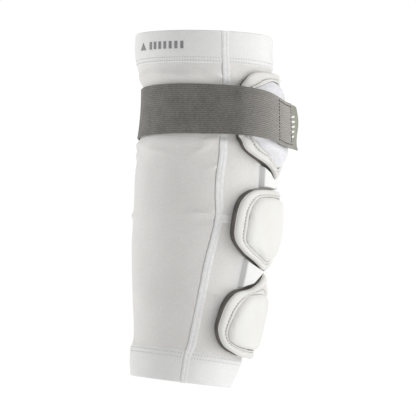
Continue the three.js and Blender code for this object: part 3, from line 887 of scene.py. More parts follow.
@dataclass(frozen=True)
class Finish:
    """One finish: its two colours, each of 0 to 255 a channel, its gloss and its fine relief."""

    name: str
    grain: Grain
    light: tuple[int, int, int]
    dark: tuple[int, int, int]
    roughness: float
    sheen: float = 0.0
    mottle: float = 30.0
    pitch: float = 1.0
    depth: float = 0.1
    strength: float = 0.4
    speckle: float = 850.0

    def build(self, groups: FinishGroups) -> bpy.types.Material:
        """Makes the material.

        Args:
            groups: the shared node groups.

        Returns:
            The material.
        """
        material = bpy.data.materials.new(self.name)
        material.use_nodes = True
        material.diffuse_color = srgb(*self.light)
        tree = material.node_tree
        desk = NodeDesk(tree)
        shader = tree.nodes["Principled BSDF"]
        place = desk.add("ShaderNodeTexCoord")
        by_cloth = self.grain in (Grain.KNIT, Grain.WEBBING)
        cloth = desk.add("ShaderNodeUVMap", uv_map=CLOTH_UV).outputs[0] if by_cloth else None
        mottle = desk.add("ShaderNodeGroup", node_tree=groups.mottle)
        values = {"Scale": self.mottle, "Light": srgb(*self.light), "Dark": srgb(*self.dark)}
        for name, value in values.items():
            mottle.inputs[name].default_value = value
        tree.links.new(place.outputs["Object"], mottle.inputs["Vector"])
        colour = mottle.outputs["Color"]
        height = self._relief(desk, groups, place.outputs["Object"], cloth)
        if self.grain is Grain.WEBBING:
            colour = self._heathered(desk, cloth, colour)
        elif self.grain in (Grain.KNIT, Grain.LOOPS):
            fine = desk.noise(place.outputs["Object"], self.speckle, 1.0)
            grit = desk.ramp(fine, 0.3, 0.7, 0.93, 1.0)
            # Painted shade: the colour darkens in the low places of the knit's and the loops' relief.
            hollow_shade = desk.math("MULTIPLY_ADD", height, 0.06, 0.96)
            colour = desk.mixed(1.0, colour, desk.math("MULTIPLY", grit, hollow_shade), "MULTIPLY")
        tree.links.new(colour, shader.inputs["Base Color"])
        rough = desk.ramp(
            mottle.outputs["Value"], 0.0, 1.0, min(1.0, self.roughness + 0.06), self.roughness)
        tree.links.new(rough, shader.inputs["Roughness"])
        bump = desk.add("ShaderNodeBump", {
            "Height": height, "Distance": self.depth * MM, "Strength": self.strength})
        tree.links.new(bump.outputs[0], shader.inputs["Normal"])
        shader.inputs["Sheen Weight"].default_value = self.sheen
        shader.inputs["Sheen Roughness"].default_value = 0.5
        shader.inputs["Specular IOR Level"].default_value = 0.4
        return material

    def _relief(
        self,
        desk: NodeDesk,
        groups: FinishGroups,
        solid: bpy.types.NodeSocket,
        cloth: bpy.types.NodeSocket | None,
    ) -> bpy.types.NodeSocket:
        """The height of the finish's fine relief.

        Args:
            desk: the material's nodes.
            groups: the shared node groups.
            solid: object coordinates.
            cloth: cloth coordinates, where the grain follows the cloth.

        Returns:
            The height's socket.
        """
        if self.grain is Grain.KNIT:
            knit = desk.add("ShaderNodeGroup", node_tree=groups.knit)
            desk.tree.links.new(cloth, knit.inputs["Vector"])
            knit.inputs["Wale"].default_value = self.pitch
            knit.inputs["Course"].default_value = self.pitch * 0.8
            return knit.outputs["Height"]
        if self.grain is Grain.WEBBING:
            axes = desk.add("ShaderNodeSeparateXYZ", {0: cloth})
            pick = desk.math("SINE", desk.math("MULTIPLY", axes.outputs[0], math.tau / self.pitch))
            end = desk.math("SINE", desk.math("MULTIPLY", axes.outputs[1], math.tau / (self.pitch * 0.6)))
            return desk.math("MULTIPLY_ADD", desk.math("MULTIPLY", pick, end), 0.5, 0.5)
        if self.grain is Grain.CELLS:
            cells = desk.add("ShaderNodeTexVoronoi", {"Vector": solid, "Scale": 1 / (self.pitch * MM)})
            return cells.outputs["Distance"]
        detail = {Grain.LOOPS: 4.0, Grain.COATED: 1.0, Grain.MOULDED: 2.0, Grain.THREAD: 2.0}[self.grain]
        return desk.noise(solid, 1 / (self.pitch * MM), detail, Roughness=0.55)

    def _heathered(
        self, desk: NodeDesk, cloth: bpy.types.NodeSocket, colour: bpy.types.NodeSocket
    ) -> bpy.types.NodeSocket:
        """The webbing's lighter flecks, painted light that makes its end over the tab paler, and painted
        shade and highlight in stripes along its ribs.

        Args:
            desk: the material's nodes.
            cloth: cloth coordinates in millimetres.
            colour: the colour under the flecks.

        Returns:
            The webbing's colour.
        """
        stretched = desk.add("ShaderNodeMapping", {"Vector": cloth, "Scale": (0.5, 1.9, 1.0)})
        flecks = desk.ramp(desk.noise(stretched.outputs[0], 0.9, 3.0), 0.44, 0.62, 0.0, 0.6)
        flecked = desk.mixed(flecks, colour, srgb(156, 153, 148))
        axes = desk.add("ShaderNodeSeparateXYZ", {0: cloth})
        # Painted light: the strap's colour grows paler towards its end over the tab.
        painted_end_light = desk.ramp(axes.outputs[0], 78.0, 20.0, 0.0, 0.7)
        paler = desk.mixed(painted_end_light, flecked, srgb(188, 184, 179))
        # Painted shade and highlight: the colour darkens and lightens in stripes along the strap, one of each
        # to every rib.
        wave = desk.math("SINE", desk.math("MULTIPLY", axes.outputs[1], math.pi / RIB_PITCH))
        ridge = desk.math("MULTIPLY_ADD", desk.math("ABSOLUTE", wave), 0.5, 0.58)
        return desk.mixed(1.0, paler, ridge, "MULTIPLY")


class Wardrobe:
    """All the finishes of the part, built once."""

    def __init__(self) -> None:
        """Builds every material."""
        groups = FinishGroups()

        def made(*facts: object, **more: object) -> bpy.types.Material:
            """One finish's material."""
            return Finish(*facts, **more).build(groups)

        self.knit = made(
            "white_knit", Grain.KNIT, (242, 240, 237), (235, 233, 230), 0.82,
            sheen=0.25, mottle=22, pitch=0.8, depth=0.14, strength=0.5)
        self.double_knit = made(
            "doubled_knit", Grain.KNIT, (246, 246, 245), (240, 240, 239), 0.82,
            sheen=0.25, mottle=22, pitch=0.8, depth=0.12, strength=0.4)
        self.seam = made(
            "seam_yarn", Grain.THREAD, (250, 250, 250), (238, 238, 237), 0.9,
            sheen=0.25, mottle=320, pitch=0.5, depth=0.12, strength=0.35)
        self.thread = made(
            "white_thread", Grain.THREAD, (246, 246, 245), (232, 232, 230), 0.7,
            mottle=400, pitch=0.3, depth=0.06, strength=0.4)
        # Painted shade: grey beads that stand for the shadow in the hems' needle holes.
        self.needle_hole_shade = made(
            "needle_hole_painted_shade", Grain.THREAD, (196, 195, 192), (182, 181, 178), 0.9,
            mottle=400, pitch=0.3, depth=0.04, strength=0.3)
        self.dark_thread = made(
            "grey_thread", Grain.THREAD, (88, 86, 82), (66, 64, 61), 0.75,
            mottle=400, pitch=0.3, depth=0.06, strength=0.4)
        self.foam = made(
            "dark_foam", Grain.CELLS, (126, 121, 116), (98, 94, 89), 0.95,
            mottle=120, pitch=0.9, depth=0.3, strength=0.7)
        self.rim = made(
            "coated_rim", Grain.COATED, (231, 230, 226), (224, 223, 218), 0.52,
            sheen=0.1, mottle=40, pitch=0.6, depth=0.05, strength=0.3)
        self.smooth_cap = made(
            "coated_cap", Grain.COATED, (237, 237, 233), (232, 231, 226), 0.58,
            sheen=0.12, mottle=30, pitch=0.6, depth=0.05, strength=0.3)
        self.brushed_cap = made(
            "brushed_cap", Grain.LOOPS, (243, 243, 246), (232, 232, 236), 0.95,
            sheen=0.4, mottle=160, pitch=1.1, depth=0.4, strength=0.45)
        self.moulding = made(
            "moulded_bridge", Grain.MOULDED, (243, 243, 242), (238, 238, 236), 0.6,
            mottle=60, pitch=0.4, depth=0.04, strength=0.3)
        # Painted shade: a slightly darker copy of the moulding's colour for the bridges' side walls.
        self.bridge_side_shade = made(
            "bridge_side_shade", Grain.MOULDED, (242, 242, 242), (236, 236, 236), 0.6,
            mottle=60, pitch=0.4, depth=0.04, strength=0.3)
        self.elastic = made(
            "grey_elastic", Grain.WEBBING, (130, 127, 122), (108, 106, 101), 0.88,
            sheen=0.2, mottle=90, pitch=0.9, depth=0.18, strength=0.55)
        self.tab = made(
            "olive_tab", Grain.LOOPS, (162, 161, 149), (144, 144, 132), 0.6,
            sheen=0.1, mottle=200, pitch=0.8, depth=0.25, strength=0.5)
        self.ink = made(
            "grey_ink", Grain.MOULDED, (150, 150, 151), (138, 138, 140), 0.6,
            mottle=200, pitch=0.5, depth=0.03, strength=0.2)


class GrowTree:
    """A Geometry Nodes tree that ends in plain geometry with one finish."""

    def __init__(self, name: str, *sizes: str) -> None:
        """Starts the tree.

        Args:
            name: its name.
            sizes: the sizes that it takes.
        """
        self.tree = bpy.data.node_groups.new(name, "GeometryNodeTree")
        socketed(self.tree, "INPUT", {
            "Geometry": "NodeSocketGeometry",
            **{size: "NodeSocketFloat" for size in sizes},
            "Material": "NodeSocketMaterial",
        })
        socketed(self.tree, "OUTPUT", {"Geometry": "NodeSocketGeometry"})
        self.desk = NodeDesk(self.tree)
        self.given = self.desk.add("NodeGroupInput")

    def attribute(self, name: str, kind: str = "FLOAT_VECTOR") -> bpy.types.NodeSocket:
        """A value that is kept with each point."""
        node = self.desk.add("GeometryNodeInputNamedAttribute", {"Name": name}, data_type=kind)
        return node.outputs["Attribute"]

    def close(self, geometry: bpy.types.NodeSocket) -> None:
        """Ends the tree in plain geometry with its material."""
        real = self.desk.add("GeometryNodeRealizeInstances", {"Geometry": geometry})
        finished = self.desk.add("GeometryNodeSetMaterial", {
            "Geometry": real.outputs[0], "Material": self.given.outputs["Material"]})
        self.desk.add("NodeGroupOutput", {"Geometry": finished.outputs[0]})


class StitchTree(GrowTree):
    """Lays one thread on each point of a row."""

    def __init__(self) -> None:
        """Builds the tree, with a thread's sizes as inputs."""
        super().__init__("thread_rows", "Length", "Width", "Rise")
        desk, given = self.desk, self.given.outputs
        bead = desk.add("GeometryNodeMeshUVSphere", {"Segments": 6, "Rings": 5, "Radius": 0.5})
        sizes = desk.add("ShaderNodeCombineXYZ", {
            "X": given["Length"], "Y": given["Width"], "Z": given["Rise"]})
        shaped = desk.add("GeometryNodeTransform", {
            "Geometry": bead.outputs["Mesh"], "Scale": sizes.outputs[0]})
        smooth = desk.add("GeometryNodeSetShadeSmooth", {"Geometry": shaped.outputs[0]})
        turned = desk.add(
            "FunctionNodeAxesToRotation", {0: self.attribute("out"), 1: self.attribute("along")},
            primary_axis="Z", secondary_axis="X")
        laid = desk.add("GeometryNodeInstanceOnPoints", {
            "Points": given["Geometry"], "Instance": smooth.outputs[0], "Rotation": turned.outputs[0]})
        self.close(laid.outputs[0])


class RibTree(GrowTree):
    """Raises ribs along a band."""

    def __init__(self) -> None:
        """Builds the tree, with the ribs' sizes as inputs."""
        super().__init__("band_ribs", "Pitch", "Rise")
        desk, given = self.desk, self.given.outputs
        half_turns = desk.math("MULTIPLY", self.attribute("across", "FLOAT"), math.pi)
        wave = desk.math("SINE", desk.math("DIVIDE", half_turns, given["Pitch"]))
        rise = desk.math("MULTIPLY", desk.math("ABSOLUTE", wave), given["Rise"])
        offset = desk.add(
            "ShaderNodeVectorMath", {0: self.attribute("out"), "Scale": rise}, operation="SCALE")
        moved = desk.add("GeometryNodeSetPosition", {
            "Geometry": given["Geometry"], "Offset": offset.outputs[0]})
        self.close(moved.outputs[0])


def grown(host: bpy.types.Object, tree: GrowTree, values: dict[str, object]) -> bpy.types.Object:
    """Runs a Geometry Nodes tree on an object and keeps the result as a plain mesh.

    Args:
        host: the object that the tree works on; only its result stays.
        tree: the tree.
        values: its inputs by name.

    Returns:
        The host, now with the finished mesh and no modifier.
    """
    modifier = host.modifiers.new("grow", "NODES")
    modifier.node_group = tree.tree
    for item in tree.tree.interface.items_tree:
        if item.item_type == "SOCKET" and item.in_out == "INPUT" and item.name in values:
            modifier[item.identifier] = values[item.name]
    mesh = kept(host, modifier)
    for name in ("along", "out", "across"):
        if name in mesh.attributes:
            mesh.attributes.remove(mesh.attributes[name])
    return host


class ThreadRow(NamedTuple):
    """Places of threads with the way each lies and the way out of the cloth."""

    point: np.ndarray
    along: np.ndarray
    out: np.ndarray


def thread_piece(
    name: str,
    rows: Sequence[ThreadRow],
    tree: StitchTree,
    material: bpy.types.Material,
    size: tuple[float, float, float],
) -> bpy.types.Object:
    """Lays threads along rows of places.

    Args:
        name: the piece's name.
        rows: where the threads lie.
        tree: the tree that lays them.
        material: their finish.
        size: length, width and rise of one thread in millimetres.

    Returns:
        The piece with all the threads.
    """
    mesh = bpy.data.meshes.new(name)
    mesh.from_pydata((np.concatenate([row.point for row in rows]) * MM).tolist(), [], [])
    for key in ("along", "out"):
        keep_vectors(mesh, key, np.concatenate([getattr(row, key) for row in rows]))
    length, width, rise = (value * MM for value in size)
    values = {"Length": length, "Width": width, "Rise": rise, "Material": material}
    return grown(placed(name, mesh), tree, values)


@dataclass
class Knitwear:
    """The knitted sleeve: its panels, hems, seams and their stitches."""

    arm: ArmForm
    finish: Wardrobe
    stitches: StitchTree
    strap_low: float
    strap_high: float
    pads: Sequence[PadForm]
    held_by: tuple[str, str] = ("outer_flatlock", "inner_flatlock")
    fineness: float = 2.0
    edge_round: float = 0.8
    hem_fineness: float = 1.8
    hem_stitch_rows: tuple[float, float] = (1.7, 4.9)
    hem_stitch_pitch: float = 2.4
    seam_row: float = 0.7
    front_roll: float = 0.5
    back_roll: float = 0.15
    fold_strength: float = 4.2
    most_lift: float = 1.7
    press_margin: float = 1
    press_run: float = 4
    hem_overlap: float = 0.6
    hem_pinch: float = 0.14
    hem_pinch_width: float = 0.5
    hem_puff: float = 0.16
    hem_wave: float = 0.25
    inside_proud: float = 0.15
    loop_depth: float = 0.1
    groove_depth: float = 0.15
    slant_pitch: float = 1.55
    slant_inset: float = 1.5
    slant_below: float = 9
    slant_above: float = 4.5
    slant_sink: float = 0.12
    needle_sink: float = 0.32
    slant_lean: float = 38
    slant_share: float = 0.42
    needle_share: float = 0.86

    def build(self) -> None:
        """Makes every knitted piece."""
        arm = self.arm
        low, high = arm.lower_hem_line - self.hem_overlap, arm.upper_hem_line + self.hem_overlap
        half_seam = arm.seam_width / 2 - arm.back_tuck
        above, below = arm.cross_seam_height + half_seam, arm.cross_seam_height - half_seam
        front, back = Edges(arm.front_start, arm.front_end), Edges(arm.back_start, arm.back_end)
        self._panel("front_knit", "front_panel", low, high, front, self.front_roll)
        self._panel("back_knit_upper", "back_panel_upper", above, high, back, self.back_roll)
        self._panel("back_knit_lower", "back_panel_lower", low, below, back, self.back_roll)
        for side, edges in (("front", front), ("back", back)):
            self._hem(f"upper_hem_cloth_{side}", f"upper_hem_{side}", True, edges)
            self._hem(f"lower_hem_cloth_{side}", f"lower_hem_{side}", False, edges)
        self._hem_stitches((front, back))
        self._long_seam("outer_flatlock", "outer_seam", 1)
        self._long_seam("inner_flatlock", "inner_seam", -1)
        self._cross_seam()
        self._seam_threads()

    def ripple(self, turn: np.ndarray, height: np.ndarray) -> np.ndarray:
        """How far the knit's soft folds lift it, in millimetres.

        Args:
            turn: degrees from the middle of the back.
            height: height above the elbow.

        Returns:
            The lift, nought where the strap or a pad presses on the knit.
        """
        radius = self.arm.arm_width / 2
        across = np.radians(turn) * radius
        lift = 0.16 * np.sin(across / 9.5 + 1.3) * np.sin(height / 13 + 0.4)
        lift += 0.1 * np.sin(across / 5.1 + height / 7.3) * np.sin(height / 9.7 - across / 17)
        for fold in KNIT_FOLDS:
            away, up = across - math.radians(fold.turn) * radius, height - fold.height
            lean = math.radians(fold.lean)
            along = away * math.cos(lean) + up * math.sin(lean)
            side = -away * math.sin(lean) + up * math.cos(lean)
            shape = np.exp(-((2 * along / fold.length) ** 2) - (2 * side / fold.width) ** 2)
            lift += self.fold_strength * fold.rise * shape
        below, above = self.strap_low - height, height - self.strap_high
        free = np.clip((np.maximum(below, above) - self.press_margin) / self.press_run, 0, 1)
        sideways = self.arm.ring(height).half_width * np.sin(np.radians(turn))
        behind = np.cos(np.radians(turn)) > 0
        for pad in self.pads:
            beyond = np.maximum(
                np.abs(sideways) - pad.width / 2, np.abs(height - pad.centre) - pad.height / 2)
            clear = np.clip((beyond + self.press_margin) / self.press_run, 0, 1)
            free = np.where(behind, free * clear, free)
        return np.clip(lift * free, -self.most_lift / 2, self.most_lift)

    def _panel(self, name: str, node: str, low: float, high: float, edges: Edges, roll: float) -> None:
        """A knitted panel whose edges roll down into the seams.

        Args:
            name: the piece's name.
            node: the node that it stands for.
            low: its lower edge.
            high: its upper edge.
            edges: its side edges.
            roll: how far its side edges roll down.
        """
        arm = self.arm
        heights = np.linspace(low, high, max(6, round((high - low) / self.fineness)))[:, None]
        width = math.radians(edges.widest(heights)) * arm.arm_depth / 2
        even = np.linspace(0, 1, max(8, round(width / self.fineness)))
        near = np.array([0.0015, 0.003, 0.006])
        shares = np.unique(np.concatenate([even, near, 1 - near]))[None, :]
        turns = edges.turns(heights, shares)
        from_side = np.minimum(shares, 1 - shares) * width
        lift = self.ripple(turns, heights) - roll * np.exp(-((from_side / self.edge_round) ** 2))
        on = arm.surface(turns, heights)
        outer = on.point + on.out * lift[..., None]
        inner = on.point - on.out * arm.wall
        steps = np.linalg.norm(np.diff(on.point, axis=1, prepend=on.point[:, :1]), axis=-1)
        across = np.cumsum(steps, axis=1)
        across -= across[:, across.shape[1] // 2][:, None]
        uv = np.stack([across, np.broadcast_to(heights, turns.shape)], axis=-1)
        piece = dress(new_piece(name, sheet_solid(outer, inner, uv), self.finish.knit), "knit", node)

    def _hem(self, name: str, node: str, upper: bool, edges: Edges) -> None:
        """A folded hem with a round edge, drawn in a little along its stitches.

        Args:
            name: the piece's name.
            node: the node that it stands for.
            upper: the hem at the shoulder end.
            edges: its side edges.
        """
        arm = self.arm
        way = 1 if upper else -1
        line = arm.upper_hem_line if upper else arm.lower_hem_line
        length = arm.upper_hem if upper else arm.lower_hem
        radius = (arm.wall + arm.hem_step) / 2
        along = np.concatenate([np.linspace(0.9, 7, 26), np.linspace(7.6, length - radius, 14)])
        pinch = sum(np.exp(-(((along - row) / self.hem_pinch_width) ** 2)) for row in self.hem_stitch_rows)
        puff = self.hem_puff * np.sin(np.clip(along / length, 0, 1) * math.pi)
        outer = np.stack([along, arm.hem_step - self.hem_pinch * pinch + puff], axis=1)
        inside = -arm.wall - self.inside_proud
        angle = np.radians(np.linspace(80, -80, 8))
        middle = arm.hem_step - radius
        fold = np.stack([length - radius * (1 - np.cos(angle)), middle + radius * np.sin(angle)], axis=1)
        back = np.stack([along[::-4], np.full(len(along[::-4]), inside)], axis=1)
        start_edge = np.array([[-0.5, inside + 0.1], [-0.6, -0.02], [-0.2, 0.16], [0.4, arm.hem_step - 0.1]])
        section = np.concatenate([outer, fold, back, start_edge])
        heights = (line + way * section[:, 0])[None, :]
        count = max(12, round(edges.widest(heights) / self.hem_fineness))
        turns = edges.turns(heights, np.linspace(0, 1, count)[:, None])
        wave = self.hem_wave * np.sin(turns / 9 + 0.7) * np.sin(turns / 23)
        wave = wave * (section[:, 0] / length)[None, :]
        points = arm.place(turns, heights, section[:, 1][None, :] + wave)
        across = np.radians(turns - 180) * arm.arm_depth / 2
        uv = np.stack([across, np.broadcast_to(heights + 40 * (section[:, 1] < 0), turns.shape)], axis=-1)
        piece = dress(new_piece(name, loops_solid(points, False, uv), self.finish.double_knit), "knit", node)

    def _row(self, turns: np.ndarray, height: float, pitch: float, lift: float, start: float) -> ThreadRow:
        """Places along a level line on the sleeve.

        Args:
            turns: the line's two ends in degrees.
            height: its height.
            pitch: distance between places.
            lift: how far off the sleeve.
            start: where the first place is.

        Returns:
            The places.
        """
        fine = np.linspace(turns[0], turns[1], 400)
        points = self.arm.place(fine, height)
        gone = gone_along(points)
        at = np.interp(np.arange(start, gone[-1], pitch), gone, fine)
        on = self.arm.surface(at, height)
        return ThreadRow(on.point + on.out * lift, on.around, on.out)

    def _hem_stitches(self, sides: Sequence[Edges]) -> None:
        """Two rows of cover stitches along each hem, with grey beads between the threads as painted shade in
        the needle holes.

        Args:
            sides: the side edges of the hems' two parts.
        """
        arm = self.arm
        pitch = self.hem_stitch_pitch
        threads, hole_shade_rows = [], []
        for line, way in ((arm.upper_hem_line, 1), (arm.lower_hem_line, -1)):
            for offset in self.hem_stitch_rows:
                height = line + way * offset
                for edges in sides:
                    ends = edges.turns(height, np.array([0, 1]))
                    threads.append(self._row(ends, height, pitch, arm.hem_step + 0.02, pitch / 2))
                    hole_shade_rows.append(self._row(ends, height, pitch, arm.hem_step - 0.02, pitch))
        dress(thread_piece(
            "hem_cover_stitches", threads, self.stitches, self.finish.thread, (1.5, 0.75, 0.5)), "seam")
        # The grey beads are painted shade in the needle holes between the threads.
        dress(thread_piece(
            "hem_needle_hole_shade", hole_shade_rows, self.stitches, self.finish.needle_hole_shade, (1.1, 0.7, 0.3)), "seam")

    def _seam_proud(self, height: np.ndarray) -> np.ndarray:
        """How far a long seam's middle stands proud.

        Args:
            height: height above the elbow.

        Returns:
            The seam's full rise, less where the strap presses it flat.
        """
        low, high, run = self.strap_low, self.strap_high, self.press_run
        full, flat = self.arm.seam_proud, self.arm.pressed_proud
        return SmoothLine([low - run, low, high, high + run], [full, flat, flat, full])(height)

    def _flatlock(self, across: np.ndarray, phase: np.ndarray, proud: np.ndarray) -> np.ndarray:
        """How far a flat seam lifts off the sleeve.

        Args:
            across: the place across the seam, from -1 to 1.
            phase: the angle of the rows of loops at each place.
            proud: how far the seam's middle stands proud there.

        Returns:
            The lift, with flatter loops where the seam is pressed.
        """
        edge = np.minimum(self.arm.seam_edge_proud, proud)
        crown = edge + (proud - edge) * np.clip(1 - np.abs(across) ** 5, 0, 1)
        loops = np.sin(phase + np.abs(across) * 3) * np.cos(across * math.pi * 2.5) ** 2
        return crown - self.loop_depth * (1 + loops) * np.clip(proud / self.arm.seam_proud, 0, 1)

    def _long_seam(self, name: str, node: str, side: int) -> None:
        """A flat seam down one side of the arm, with a knitted back between two thread ridges.

        Args:
            name: the piece's name.
            node: the node that it stands for.
            side: 1 for the outer side and -1 for the inner.
        """
        arm = self.arm
        heights = np.arange(-arm.forearm_length, arm.upper_length, self.seam_row)
        heights = np.append(heights, arm.upper_length)[:, None]
        shares = np.linspace(-1, 1, 17)[None, :]
        proud = self._seam_proud(heights)
        pressed = np.clip(proud / arm.seam_proud, 0, 1)
        lift = self._flatlock(shares, heights * math.tau / 2.1, proud)
        lift = lift - self.groove_depth * np.exp(-((shares / 0.08) ** 2)) * pressed
        on = self._on_seam(side, shares, heights)
        inside = on.point - on.out * (arm.wall + self.inside_proud)
        solid = sheet_solid(on.point + on.out * lift[..., None], inside)
        dress(new_piece(name, solid, self.finish.seam), "seam", node)

    def _cross_seam(self) -> None:
        """The seam behind the elbow, which passes under the middle pad."""
        arm = self.arm
        elbow = self.pads[1]
        low = arm.cross_seam_height - arm.seam_width / 2
        pad_edge = float(arm.turn_across(elbow.width / 2, arm.cross_seam_height))
        proud_at = SmoothLine([pad_edge, pad_edge + arm.seam_settle], [arm.pressed_proud, arm.seam_proud])
        shares = np.linspace(0, 1, 15)[:, None]
        heights = low + shares * arm.seam_width
        reach = np.linspace(-1, 1, 150)[None, :]
        turns = reach * arm.back_end(heights)
        lift = self._flatlock(2 * shares - 1, turns * 2.9, proud_at(np.abs(turns)))
        on = arm.surface(turns, heights)
        inside = on.point - on.out * (arm.wall + self.inside_proud / 2)
        solid = sheet_solid(on.point + on.out * lift[..., None], inside)
        dress(new_piece("cross_flatlock", solid, self.finish.seam), "seam", "cross_seam")

    def _on_seam(self, side: int, share: np.ndarray | float, heights: np.ndarray) -> Surface:
        """Places on a long seam, share of the way from its middle to its edge."""
        arm = self.arm
        return arm.surface(side * (arm.seam_turn(heights) + share * arm.half_seam(heights)), heights)

    def _seam_threads(self) -> None:
        """Slanted threads across the long seams and a needle row near each edge."""
        arm = self.arm
        slant_rows, needle_rows = [], []
        inset = self.slant_inset
        heights = np.arange(inset - arm.forearm_length, arm.upper_length - inset, self.slant_pitch)
        below, above = self.strap_low - self.slant_below, self.strap_high + self.slant_above
        heights = heights[(heights < below) | (heights > above)]
        for side in (1, -1):
            for edge in (-1, 1):
                on = self._on_seam(side, edge * self.slant_share, heights)
                lean = math.radians(self.slant_lean) * -edge * side
                along = on.around * math.cos(lean) + on.up * math.sin(lean)
                raised = on.point + on.out * (arm.seam_proud - self.slant_sink)
                slant_rows.append(ThreadRow(raised, along, on.out))
            for edge in (-1, 1):
                on = self._on_seam(side, edge * self.needle_share, heights)
                raised = on.point + on.out * (arm.seam_proud - self.needle_sink)
                needle_rows.append(ThreadRow(raised, on.up, on.out))
        dress(thread_piece(
            "flatlock_cross_threads", slant_rows, self.stitches, self.finish.seam, (3.0, 0.6, 0.45)), "seam")
        dress(thread_piece(
            "flatlock_needle_threads", needle_rows, self.stitches, self.finish.seam, (1.5, 0.6, 0.5)), "seam")


@dataclass
class HemMark:
    """A plain printed mark on the upper hem: an upright triangle and a few bars."""

    arm: ArmForm
    finish: Wardrobe
    first_turn: float = 135.5
    last_turn: float = 84
    middle: float = 153.6
    tall: float = 6.6
    triangle_share: float = 0.16
    first_bar: float = 0.26
    bar_step: float = 0.1
    bar_share: float = 0.05
    bar_count: int = 7
    ink_rise: float = 0.42
    ink_sink: float = 0.1

    def build(self) -> None:
        """Prints the mark."""
        span = self.last_turn - self.first_turn
        solids = [self._patch(self.first_turn, self.first_turn + span * self.triangle_share, True)]
        for i in range(self.bar_count):
            begin = self.first_turn + span * (self.first_bar + i * self.bar_step)
            solids.append(self._patch(begin, begin + span * self.bar_share, False))
        dress(new_piece("hem_print_mark", joined(solids), self.finish.ink), "seam")

    def _patch(self, start: float, end: float, pointed: bool) -> Solid:
        """One printed shape.

        Args:
            start: its first edge in degrees.
            end: its last edge in degrees.
            pointed: a triangle with its point up; otherwise a slim bar.

        Returns:
            The thin solid.
        """
        across = np.linspace(0, 1, 9)[None, :]
        rows = np.linspace(0.02, 1, 5)[:, None]
        top = 1 - np.abs(2 * across - 1) * 0.98 if pointed else np.ones_like(across)
        heights = self.middle - self.tall / 2 + self.tall * rows * top
        turns = np.broadcast_to(start + (end - start) * across, heights.shape)
        outer = self.arm.place(turns, heights, self.arm.hem_step + self.ink_rise)
        inner = self.arm.place(turns, heights, self.arm.hem_step - self.ink_sink)
        return sheet_solid(outer, inner)


